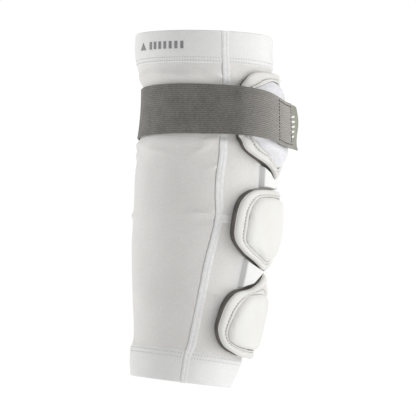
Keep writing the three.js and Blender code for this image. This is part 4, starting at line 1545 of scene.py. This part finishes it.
@dataclass
class PadStack:
    """One pad: dark foam, a soft rim sewn round it, a thin ridge and a padded cap."""

    arm: ArmForm
    form: PadForm
    finish: Wardrobe
    stitches: StitchTree
    around: int = 220
    foam_flare: float = 0.3
    foam_round: float = 0.25
    wall_rows: int = 17
    wall_draw: float = 0.45
    layer_groove: float = 0.4
    layer_line: float = 0.52
    layer_soft: float = 0.07
    puckers: int = 34
    pucker_depth: float = 0.12
    crest_waves: int = 5
    crest_depth: float = 0.18
    piping_radius: float = 0.95
    piping_way: float = 0.85
    piping_height: float = 0.72
    stitch_way: float = 0.67
    stitch_height: float = 0.8
    stitch_pitch: float = 2.9
    shrink: float = 0.94
    swell: float = 0.9

    def __post_init__(self) -> None:
        """Lays out the two outlines."""
        self.edge = self._loop(self.form.edge)
        self.cap = self._loop(self.form.cap)

    def _loop(self, rows: Sequence[OutlineStop]) -> np.ndarray:
        """A half outline as a whole one.

        Args:
            rows: the half outline's corners.

        Returns:
            Even places, each its distance from the middle and its height.
        """
        form = self.form
        near = [(row.across * form.width / 2, form.centre + row.along * form.height / 2) for row in rows]
        far = [(-across, height) for across, height in near[1:-1]][::-1]
        return evenly(spline_loop(np.array(near + far)), self.around, True)

    def shrunk(self, loop: np.ndarray, size: float) -> np.ndarray:
        """A loop drawn in to the pad's middle."""
        middle = np.array([0, self.form.centre])
        return middle + (loop - middle) * size

    def between(self, way: float) -> np.ndarray:
        """A loop between the edge and the cap."""
        return self.edge + (self.cap - self.edge) * way

    def over_foam(self, loop: np.ndarray, rise: np.ndarray | float) -> np.ndarray:
        """A loop's places over the foam.

        Args:
            loop: the loop.
            rise: how far over the foam.

        Returns:
            Places in millimetres.
        """
        form = self.form
        out = np.minimum(1, np.abs(loop[:, 0]) / (form.width / 2)) ** 2
        up = (loop[:, 1] - form.centre) / (form.height / 2)
        foam = form.foam * (form.middle + (1 - form.middle) * out) * (1 + form.lean * up)
        return self.raised(loop, self.arm.pad_seat + foam + rise)

    def raised(self, loop: np.ndarray, lift: np.ndarray | float) -> np.ndarray:
        """A loop's places at a lift off the sleeve."""
        turns = self.arm.turn_across(loop[:, 0], loop[:, 1])
        return self.arm.place(turns, loop[:, 1], lift)

    def build(self) -> None:
        """Makes the pad's pieces."""
        self._foam()
        self._rim()
        self._piping()
        self._cap()
        self._stitches()

    def _foam(self) -> None:
        """The dark foam block in two layers, whose sides draw in a little."""
        foot = self.shrunk(self.edge, 1 + self.foam_flare / (self.form.width / 2))
        middle = np.array([[0, self.form.centre]])
        seat = self.arm.pad_seat
        low = [self.raised(self.shrunk(foot, size), seat) for size in (0.3, 0.6, 0.85, 0.97)]
        bottom_edge = self.raised(foot, seat + self.foam_round)
        top_edge = self.over_foam(self.edge, -self.foam_round)
        upper = np.clip((self.edge[:, 1] - self.form.centre) / (self.form.height / 2), 0, 1)
        wall = []
        for share in np.linspace(0, 1, self.wall_rows):
            line = bottom_edge + (top_edge - bottom_edge) * share
            inward = unit(bottom_edge.mean(axis=0) - line)
            groove = self.layer_groove * math.exp(-(((share - self.layer_line) / self.layer_soft) ** 2))
            draw = self.wall_draw * math.sin(share * math.pi) + groove
            wall.append(line + inward * (draw + self.form.foam_tuck * upper[:, None]))
        tops = [self.over_foam(self.between(0.05), 0), self.over_foam(self.between(0.6), 0)]
        tops += [self.over_foam(self.shrunk(self.cap, size), 0) for size in (0.98, 0.7, 0.34)]
        loops = np.stack(low + wall + tops)
        solid = dome_solid(self.raised(middle, seat)[0], loops, self.over_foam(middle, 0)[0])
        name = self.form.name
        piece = dress(new_piece(f"{name}_foam_base", solid, self.finish.foam), "foam", f"{name}_pad_foam")

    def _rim(self) -> None:
        """The soft rim, puckered where it is sewn."""
        form = self.form
        section = rounded(np.array(RIM_SECTION), 2, True)
        angle = np.arange(self.around) / self.around * math.tau
        pucker = self.pucker_depth * np.sin(angle * self.puckers)
        slow = self.crest_depth * np.sin(angle * self.crest_waves + form.centre)
        loops = []
        for way, up in section:
            rise = self.arm.gap + up * form.rim
            sewn = math.exp(-(((way - 0.62) / 0.14) ** 2)) * up
            crest = math.exp(-(((way - 0.3) / 0.25) ** 2)) * up
            loops.append(self.over_foam(self.between(way), rise + pucker * sewn + slow * crest))
        solid = loops_solid(np.stack(loops), True)
        piece = new_piece(f"{form.name}_soft_rim", solid, self.finish.rim, sharp=80)
        dress(piece, "rim", f"{form.name}_pad_rim")

    def _piping(self) -> None:
        """The thin bright ridge between rim and cap."""
        form = self.form
        room = float(np.mean(np.linalg.norm(self.cap - self.edge, axis=1)))
        loops = []
        for angle in np.radians(np.arange(0, 360, 45)):
            way = self.piping_way + self.piping_radius / room * math.cos(angle)
            rise = self.arm.gap + form.rim * self.piping_height + self.piping_radius * math.sin(angle)
            loops.append(self.over_foam(self.between(way), rise))
        piece = new_piece(
            f"{form.name}_piping_cord", loops_solid(np.stack(loops), True), self.finish.rim, sharp=80)
        dress(piece, "rim", f"{form.name}_pad_piping")

    def _cap(self) -> None:
        """The padded cap, swelled by a cloth simulation."""
        form = self.form
        tall = (form.rim + form.crown) * self.shrink
        gap = self.arm.gap
        lip = form.rim * self.piping_height
        profile = SmoothLine([0, 0.34, 0.66, 0.9, 1], [1, 0.99, 0.94, 0.79, (lip + 0.4) / tall])
        loops = [self.over_foam(self.shrunk(self.cap, size), gap) for size in (0.34, 0.7, 0.97)]
        loops += [self.over_foam(self.between(0.92), gap + lip * share) for share in (0.3, 0.9)]
        sizes = (0.985, 0.97, 0.94, 0.9, 0.84, 0.76, 0.66, 0.54, 0.4, 0.26, 0.12)
        for size in sizes:
            loops.append(self.over_foam(self.shrunk(self.cap, size), gap + tall * float(profile(size))))
        middle = np.array([[0, form.centre]])
        solid = dome_solid(
            self.over_foam(middle, gap)[0], np.stack(loops), self.over_foam(middle, gap + tall)[0])
        material = self.finish.brushed_cap if form.brushed else self.finish.smooth_cap
        piece = new_piece(f"{form.name}_soft_cap", solid, material, sharp=80)
        out = self.arm.surface(np.zeros(1), np.array([form.centre])).out[0]
        Cushion(piece, Vector(out), swell=self.swell).puff()
        slot = "brushed_cap" if form.brushed else "smooth_cap"
        dress(piece, slot, f"{form.name}_pad_cap")

    def _stitches(self) -> None:
        """One row of stitches along the rim's inner edge."""
        form = self.form
        loop = self.between(self.stitch_way)
        points = self.over_foam(loop, self.arm.gap + form.rim * self.stitch_height)
        length = float(np.linalg.norm(np.roll(points, -1, axis=0) - points, axis=1).sum())
        even = evenly(points, round(length / self.stitch_pitch), True)
        nearest = np.argmin(np.linalg.norm(points[None] - even[:, None], axis=2), axis=1)
        turns = self.arm.turn_across(loop[:, 0], loop[:, 1])
        out = self.arm.surface(turns, loop[:, 1]).out[nearest]
        along = unit(np.roll(even, -1, axis=0) - np.roll(even, 1, axis=0))
        row = ThreadRow(even, along, out)
        piece = thread_piece(
            f"{form.name}_rim_stitches", [row], self.stitches, self.finish.thread, (2.1, 0.6, 0.5))
        dress(piece, "seam")


@dataclass
class Cushion:
    """Swells a closed piece as padded cloth does."""

    piece: bpy.types.Object
    out: Vector
    swell: float
    voxel: float = 2.2
    pressure: float = 6.0
    frames: int = 20
    quality: int = 6
    cloth_mass: float = 0.1
    most_scaled: float = 4

    def puff(self) -> None:
        """Runs the simulation and keeps its result in the piece's mesh."""
        piece = self.piece
        self._apply("REMESH", mode="VOXEL", voxel_size=self.voxel * MM, use_smooth_shade=True)
        before = mesh_points(piece.data)
        normals = np.empty(len(piece.data.vertices) * 3)
        piece.data.vertices.foreach_get("normal", normals)
        cloth = piece.modifiers.new("cloth", "CLOTH")
        cloth.settings.quality = self.quality
        cloth.settings.mass = self.cloth_mass
        cloth.settings.use_pressure = True
        cloth.settings.uniform_pressure_force = self.pressure
        cloth.settings.effector_weights.gravity = 0
        cloth.point_cache.frame_start = 1
        cloth.point_cache.frame_end = self.frames
        scene = bpy.context.scene
        for step in range(1, self.frames + 1):
            scene.frame_set(step)
        graph = bpy.context.evaluated_depsgraph_get()
        after = mesh_points(piece.evaluated_get(graph).data)
        piece.modifiers.remove(cloth)
        scene.frame_set(1)
        facing = np.clip(normals.reshape(-1, 3) @ np.array(self.out) * 1.5 - 0.1, 0, 1)[:, None]
        moved = (after - before) * facing
        size = np.linalg.norm(moved, axis=1, keepdims=True)
        most = self.swell * MM
        moved *= np.minimum(1, most / np.maximum(size, 1e-9))
        scale = most / max(float(np.quantile(np.linalg.norm(moved, axis=1), 0.98)), 1e-6)
        moved *= min(scale, self.most_scaled)
        piece.data.vertices.foreach_set("co", (before + moved).ravel())
        self._apply("SUBSURF", levels=1, render_levels=1)

    def _apply(self, kind: str, **settings: object) -> None:
        """Adds a modifier, keeps its result and drops it.

        Args:
            kind: Blender's name for the modifier.
            settings: the modifier's own settings.
        """
        modifier = self.piece.modifiers.new("shape", kind)
        for name, value in settings.items():
            setattr(modifier, name, value)
        kept(self.piece, modifier).shade_smooth()


@dataclass
class Bridge:
    """A moulded bridge with thin flanges between two pads."""

    arm: ArmForm
    finish: Wardrobe
    name: str
    node: str
    width: float
    above: PadStack
    below: PadStack
    flange: float = 4.2
    rise: float = 6
    slope: float = 1.4
    flange_rise: float = 0.8
    clear: float = 0.8
    end_flange: float = 0.6
    end_slope: float = 1.6

    def build(self) -> None:
        """Makes the bridge."""
        side = self.width / 2
        seat = self.arm.pad_seat
        flat = seat + self.flange_rise
        top = seat + self.rise
        half = np.array([
            [side + self.flange, 0.04],
            [side + self.flange * 0.76, flat * 0.35],
            [side + self.flange * 0.5, flat * 0.62],
            [side + 0.35, flat * 0.8],
            [side, flat * 0.8 + 0.2],
            [side - self.slope * 0.8, top - 0.7],
            [side - self.slope * 0.8 - 0.25, top - 0.25],
            [side - self.slope * 0.8 - 0.8, top],
            [side / 2, top + 0.1],
            [0, top + 0.15],
        ])
        profile = np.concatenate([half * [-1, 1], half[-2::-1]])
        across, lift = profile[:, 0], profile[:, 1]
        high = self._outline(self.above, across, False) - self.clear
        low = self._outline(self.below, across, True) + self.clear
        ends = np.array([0, 0.012, 0.03, 0.05, 0.08, 0.12, 0.17])
        shares = np.concatenate([ends, np.linspace(0.22, 0.78, 8), 1 - ends[::-1]])[:, None]
        heights = low[None, :] + (high - low)[None, :] * shares
        turns = self.arm.turn_across(np.broadcast_to(across, heights.shape), heights)
        from_end = np.minimum(shares, 1 - shares) * float(np.mean(high - low))
        slope = np.clip((from_end - self.end_flange) / self.end_slope, 0, 1)
        raised = np.maximum(lift[None, :] - flat, 0) * slope * (2 - slope)
        outer = self.arm.place(turns, heights, np.minimum(lift[None, :], flat) + raised)
        inner = self.arm.place(turns, heights, 0.02)
        piece = new_piece(self.name, sheet_solid(outer, inner), self.finish.moulding, sharp=40)
        # The side walls get the darker copy of the moulding's colour: painted shade.
        piece.data.materials.append(self.finish.bridge_side_shade)
        steps = len(across) - 1
        walls = {4, steps - 5}
        for face in piece.data.polygons[:steps * (len(shares) - 1)]:
            face.material_index = int(face.index % steps in walls)
        dress(piece, "moulding", self.node)

    def _outline(self, pad: PadStack, across: np.ndarray, upper: bool) -> np.ndarray:
        """A pad's highest or lowest height at distances from the middle of the back.

        Args:
            pad: the pad.
            across: the distances.
            upper: its highest edge.

        Returns:
            The heights.
        """
        foot = pad.shrunk(pad.edge, 1 + pad.foam_flare / (pad.form.width / 2))
        part = foot[(foot[:, 1] > pad.form.centre) == upper]
        part = part[np.argsort(part[:, 0])]
        return np.interp(across, part[:, 0], part[:, 1])


@dataclass
class StrapSet:
    """The ribbed elastic strap, its stitches and the hook tab under its end."""

    arm: ArmForm
    finish: Wardrobe
    stitches: StitchTree
    ribs: RibTree
    width: float = STRAP_WIDTH
    height: float = 96.3
    thickness: float = 2
    edge_round: float = 0.8
    end_round: float = 1.2
    seat: float = 0.5
    root_angle: float = -57
    leaves_angle: float = 6
    tail: float = 28
    box: float = 21
    drop: float = 6.5
    drop_run: float = 60
    drop_ahead: float = 9
    taper_run: float = 180
    tab_exposed: float = 15
    tab_width: float = 38.5
    tab_thickness: float = 1.4
    tab_wave: float = 1.2
    tab_edge_round: float = 0.6
    tab_tip_round: float = 0.9
    tab_corner: float = 3.2
    rib_rise: float = 0.36
    step: float = 2.2
    stitch_inset: float = 2.2
    box_inset: float = 1.5
    stitch_reach: float = 0.42
    root_rows: tuple[float, float] = (3.0, 9.0)
    tick_count: int = 5
    tick_spread: float = 0.22
    tick_half: float = 0.022
    tick_slant: float = 0.02
    tick_near: float = 1
    tick_far: float = 8

    def build(self) -> None:
        """Makes the strap and the tab."""
        self.ring = self.arm.ring(self.height)
        self.route = self._route()
        self.gone = gone_along(self.route)
        self.total = float(self.gone[-1])
        drop_end = self.box + self.tab_exposed - self.drop_ahead
        self.fall = SmoothLine(
            [drop_end, drop_end + self.drop_run / 2, drop_end + self.drop_run], [1, 0.25, 0])
        self.taper = SmoothLine([self.tab_exposed, self.taper_run / 3, self.taper_run], [1, 0.55, 0])
        self._strap()
        self._strap_stitches()
        self._tab()

    def _route(self) -> np.ndarray:
        """The strap's middle line, tight round the sleeve and over the upper pad.

        Returns:
            Its points in plan, from its root to the tab's tip.
        """
        half_width, half_depth = float(self.ring.half_width), float(self.ring.half_depth)
        reach = self.seat + self.thickness / 2
        turns = np.radians(np.arange(0, 360, 4))
        way = np.stack([-np.sin(turns), -np.cos(turns)], axis=1)
        normal = unit(way / [half_width, half_depth])
        sleeve = way * [half_width, half_depth] + normal * reach
        low = self.height - self.width / 2 - self.drop
        high = self.height + self.width / 2
        layers = ("upper_pad_foam", "upper_pad_rim", "upper_pad_cap")
        pad = np.concatenate([mesh_points(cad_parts[name].data) / MM for name in layers])
        heights, plan = self._plan(pad)
        near = (plan[:, 0] < self.arm.gap) & (heights < high) & (heights > low)
        plan = plan[near]
        length = np.linalg.norm(plan, axis=1, keepdims=True)
        plan = plan * (length + reach + self.tab_thickness + self.arm.gap) / length
        under = np.concatenate([sleeve, plan])
        hull = under[convex_hull_2d(under.tolist())]
        turns = np.linspace(FULL_TURN + self.root_angle, self.leaves_angle, 240)
        line = np.array([self._ray(hull, turn) for turn in turns])
        line = evenly(line, round(float(gone_along(line)[-1]) / self.step), False)
        line[1:-1] = (line[:-2] + 2 * line[1:-1] + line[2:]) / 4
        heading = unit(line[-1] - line[-2])
        run = np.arange(self.step, self.tail + self.step / 2, self.step)[:, None]
        return np.concatenate([line, line[-1] + heading * run])

    def _plan(self, points: np.ndarray) -> tuple[np.ndarray, np.ndarray]:
        """Points near the sleeve as the strap meets them.

        Args:
            points: the points in millimetres.

        Returns:
            Their heights along the arm, and their places in plan on the strap's own ring.
        """
        height = points[:, 2].copy()
        for _ in range(6):
            ring = self.arm.ring(height)
            tilt = ring.pitch * (points[:, 1] - ring.y) + ring.roll * (points[:, 0] - ring.x)
            height = points[:, 2] - tilt
        ring = self.arm.ring(height)
        across = (points[:, 0] - ring.x) / ring.half_width * self.ring.half_width
        depth = (points[:, 1] - ring.y) / ring.half_depth * self.ring.half_depth
        return height, np.stack([across, depth], axis=1)

    @staticmethod
    def _ray(hull: np.ndarray, turn: float) -> np.ndarray:
        """Where a ray from the middle meets an outline.

        Args:
            hull: the outline's corners.
            turn: the ray's turn in degrees.

        Returns:
            The place in plan.
        """
        ray = np.array([-math.sin(math.radians(turn)), -math.cos(math.radians(turn))])
        along = np.roll(hull, -1, axis=0) - hull
        cross = ray[0] * along[:, 1] - ray[1] * along[:, 0]
        cross = np.where(np.abs(cross) < 1e-9, 1e-9, cross)
        length = (hull[:, 0] * along[:, 1] - hull[:, 1] * along[:, 0]) / cross
        share = (ray[1] * hull[:, 0] - ray[0] * hull[:, 1]) / cross
        hit = (length > 0) & (share >= -1e-9) & (share <= 1 + 1e-9)
        return ray * length[hit].max()

    def place(self, distance: np.ndarray, row: np.ndarray, offset: np.ndarray) -> np.ndarray:
        """Places on the strap.

        Args:
            distance: distance back from the tab's tip.
            row: place across the strap, from -0.5 to 0.5.
            offset: how far out of the strap's middle.

        Returns:
            Places in millimetres.
        """
        distance, row, offset = np.broadcast_arrays(distance, row, offset)
        along = np.clip(self.total - distance, 0, self.total)
        x = np.interp(along, self.gone, self.route[:, 0])
        y = np.interp(along, self.gone, self.route[:, 1])
        heading = unit(np.gradient(self.route, self.gone, axis=0))
        hx = np.interp(along, self.gone, heading[:, 0])
        hy = np.interp(along, self.gone, heading[:, 1])
        size = np.hypot(hx, hy)
        nx, ny = hy / size, -hx / size
        inward = np.where(nx * x + ny * y < 0, -1.0, 1.0)
        x = x + nx * inward * offset
        y = y + ny * inward * offset
        wide = self.width + (self.tab_width - self.width) * self.taper(distance)
        height = self.height - self.drop * self.fall(distance) + row * wide
        return self.arm.on_ring(height, x / self.ring.half_width, y / self.ring.half_depth)

    def _strap(self) -> None:
        """The elastic: a band with ribs along it and rounded edges."""
        rows = RIB_COUNT * 6 + 1
        across = np.linspace(-0.5, 0.5, rows)[:, None]
        count = round((self.total - self.tab_exposed) / self.step)
        distance = np.linspace(self.total, self.tab_exposed, count)[None, :]
        ends = np.minimum(distance - self.tab_exposed, self.total - distance)
        thin = np.clip((0.5 - np.abs(across)) * self.width / self.edge_round, 0.35, 1)
        thin = thin * np.clip(ends / self.end_round, 0.5, 1)
        half = (self.thickness / 2 - self.rib_rise) * thin
        outer = self.place(distance, across, half)
        inner = self.place(distance, across, -half)
        uv = np.stack(np.broadcast_arrays(distance, across * self.width), axis=-1)
        piece = new_piece("ribbed_elastic", sheet_solid(outer, inner, uv), self.finish.elastic)
        out = unit(outer - inner)
        mesh = piece.data
        flat = np.broadcast_to(across * RIB_COUNT + RIB_COUNT / 2, outer.shape[:2]).ravel()
        keep_vectors(mesh, "out", np.concatenate([out, -out]))
        mesh.attributes.new("across", "FLOAT", "POINT").data.foreach_set(
            "value", np.concatenate([flat, flat]).astype(np.float32))
        values = {"Pitch": 1.0, "Rise": self.rib_rise * MM, "Material": self.finish.elastic}
        grown(piece, self.ribs, values).data.shade_smooth()
        dress(piece, "elastic", "strap")

    def _stitch_line(self, distance: np.ndarray, row: np.ndarray) -> ThreadRow:
        """Threads on the strap's outer face.

        Args:
            distance: the distance of each back from the tab's tip.
            row: the place of each across the strap.

        Returns:
            The row of threads.
        """
        lift = self.thickness / 2 + 0.02
        points = self.place(distance, row, np.full(len(distance), lift))
        out = unit(points - self.place(distance, row, np.full(len(distance), lift - 1)))
        return ThreadRow(points, unit(np.gradient(points, axis=0)), out)

    def _strap_stitches(self) -> None:
        """The box of stitches that holds the tab, and two rows at the strap's root."""
        end = self.tab_exposed + self.stitch_inset
        back = self.tab_exposed + self.box + self.box_inset
        reach = self.stitch_reach
        tall = np.linspace(-reach, reach, 13)
        wide = np.linspace(end, back, 8)
        upright = [back, end] + [self.total - inset for inset in self.root_rows]
        rows = [self._stitch_line(np.full(13, distance), tall) for distance in upright]
        rows += [self._stitch_line(wide, np.full(8, row)) for row in (reach, -reach)]
        dress(thread_piece(
            "strap_stitches", rows, self.stitches, self.finish.dark_thread, (2.3, 0.75, 0.5)), "elastic")

    def _tab_face(self, distance: np.ndarray, row: np.ndarray) -> np.ndarray:
        """How far out the tab's outer face lies: it waves more towards its tip."""
        wave = self.tab_wave * np.maximum(0, 1 - distance / self.tab_exposed) * np.sin(row * math.tau + 0.6)
        return wave - self.thickness / 2 - self.arm.gap

    def _tab(self) -> None:
        """The wavy hook tab, with a few plain ticks woven near the strap's end."""
        across = np.linspace(-0.5, 0.5, 61)[:, None]
        corner = np.maximum((np.abs(across) - 0.5) * self.tab_width + self.tab_corner, 0)
        tip = self.tab_corner - np.sqrt(np.maximum(self.tab_corner**2 - corner**2, 0))
        length = self.box + self.tab_exposed
        distance = length + (tip - length) * np.linspace(0, 1, 40)[None, :]
        thin = np.clip((0.5 - np.abs(across)) * self.tab_width / self.tab_edge_round, 0.4, 1)
        thin = thin * np.clip((distance - tip) / self.tab_tip_round, 0.4, 1)
        middle = self._tab_face(distance, across) - self.tab_thickness / 2
        outer = self.place(distance, across, middle + self.tab_thickness / 2 * thin)
        inner = self.place(distance, across, middle - self.tab_thickness / 2 * thin)
        piece = new_piece("hook_tape_tab", sheet_solid(outer, inner), self.finish.tab, sharp=70)
        dress(piece, "tab", "hook_tab")
        tall = np.array([[-self.tick_half], [self.tick_half]])
        slant = np.linspace(-self.tick_slant, self.tick_slant, 5)
        ways = np.linspace(self.tab_exposed - self.tick_near, self.tab_exposed - self.tick_far, 5)
        ticks = []
        for middle_row in np.linspace(-self.tick_spread, self.tick_spread, self.tick_count):
            rows = middle_row + tall + slant
            face = self._tab_face(ways, rows)
            ticks.append(sheet_solid(self.place(ways, rows, face + 0.12), self.place(ways, rows, face - 0.1)))
        dress(new_piece("tab_ticks", joined(ticks), self.finish.thread), "seam")


@dataclass
class Studio:
    """Camera, lights, white surroundings and a pale floor."""

    aim: tuple[float, float, float] = (2.24, -6.14, 17.43)
    azimuth: float = -70
    distance: float = 1600
    lens: float = 158.9
    sensor: float = 36
    floor_level: float = -1750
    floor_size: float = 24000
    room_light: float = 0.29
    room_seen: float = 0.73
    floor_light: float = 0.5
    floor_seen: float = 0.55

    def build(self) -> None:
        """Sets the studio up."""
        a = math.radians(self.azimuth)
        self.back = Vector((math.sin(a), -math.cos(a), 0))
        self.right = Vector((math.cos(a), math.sin(a), 0))
        self.target = Vector(self.aim) * MM
        self._camera()
        self._light("left_panel", right=-1.12, back=-0.25, up=0.3, size=(0.9, 1.9), power=10)
        self._light("right_panel", right=1.2, back=0.3, up=0.3, size=(0.9, 1.9), power=8.2)
        self._light("soft_fill", right=0.95, back=0.8, up=0.1, size=(0.8, 1.6), power=4.6)
        self._light("top_panel", right=0.1, back=0.5, up=1.5, size=(1.4, 1.4), power=2.5)
        self._light("far_panel", right=0.5, back=-1.4, up=0.5, size=(1.4, 1.6), power=6)
        self._world()
        self._floor()
        settings = bpy.context.scene.view_settings
        settings.view_transform = "Standard"
        settings.look = "None"

    def _camera(self) -> None:
        """The camera at the photograph's angle."""
        data = bpy.data.cameras.new("camera")
        data.lens = self.lens
        data.sensor_width = self.sensor
        data.clip_end = 100
        camera = placed("camera", data)
        camera.location = self.target + self.back * self.distance * MM
        camera.rotation_euler = (-self.back).to_track_quat("-Z", "Y").to_euler()
        bpy.context.scene.camera = camera

    def _light(
        self, name: str, right: float, back: float, up: float, size: tuple[float, float], power: float
    ) -> None:
        """A soft panel of light that faces the object.

        Args:
            name: its name.
            right: metres to the picture's right.
            back: metres towards the camera.
            up: metres up.
            size: its width and height in metres.
            power: watts.
        """
        data = bpy.data.lights.new(name, "AREA")
        data.shape = "RECTANGLE"
        data.size, data.size_y = size
        data.energy = power
        light = placed(name, data)
        light.location = self.target + self.right * right + self.back * back + Vector((0, 0, up))
        light.rotation_euler = (self.target - light.location).to_track_quat("-Z", "Y").to_euler()

    def _world(self) -> None:
        """White to look at, dimmer as a light."""
        world = bpy.data.worlds.new("white_room")
        world.use_nodes = True
        bpy.context.scene.world = world
        tree = world.node_tree
        background = tree.nodes["Background"]
        background.inputs["Color"].default_value = (1, 1, 1, 1)
        strength = NodeDesk(tree).glow(self.room_seen, self.room_light)
        tree.links.new(strength, background.inputs["Strength"])

    def _floor(self) -> None:
        """A large pale floor well below the part."""
        mesh = bpy.data.meshes.new("floor")
        half = self.floor_size / 2 * MM
        level = self.floor_level * MM
        mesh.from_pydata(
            [(-half, -half, level), (half, -half, level), (half, half, level), (-half, half, level)],
            [], [(0, 1, 2, 3)])
        material = bpy.data.materials.new("pale_floor")
        material.use_nodes = True
        shader = material.node_tree.nodes["Principled BSDF"]
        shader.inputs["Base Color"].default_value = (0.9, 0.9, 0.9, 1)
        shader.inputs["Roughness"].default_value = 0.9
        shader.inputs["Specular IOR Level"].default_value = 0.0
        shader.inputs["Emission Color"].default_value = (1, 1, 1, 1)
        strength = NodeDesk(material.node_tree).glow(self.floor_seen, self.floor_light)
        material.node_tree.links.new(strength, shader.inputs["Emission Strength"])
        mesh.materials.append(material)
        placed("floor", mesh)


def main() -> None:
    """Builds the whole part in its studio."""
    logging.basicConfig(level=logging.INFO, format="%(message)s")
    Studio().build()
    arm = ArmForm()
    finish = Wardrobe()
    stitches = StitchTree()
    forms = (UPPER_PAD, ELBOW_PAD, FOREARM_PAD)
    strap = StrapSet(arm, finish, stitches, RibTree())
    low = strap.height - strap.width / 2
    high = strap.height + strap.width / 2
    Knitwear(arm, finish, stitches, low, high, forms).build()
    HemMark(arm, finish).build()
    stacks = [PadStack(arm, form, finish, stitches) for form in forms]
    for stack in stacks:
        stack.build()
    Bridge(arm, finish, "upper_bridge", "upper_link", 33, stacks[0], stacks[1]).build()
    Bridge(arm, finish, "lower_bridge", "lower_link", 46, stacks[1], stacks[2]).build()
    strap.build()


if __name__ == "__main__":
    main()
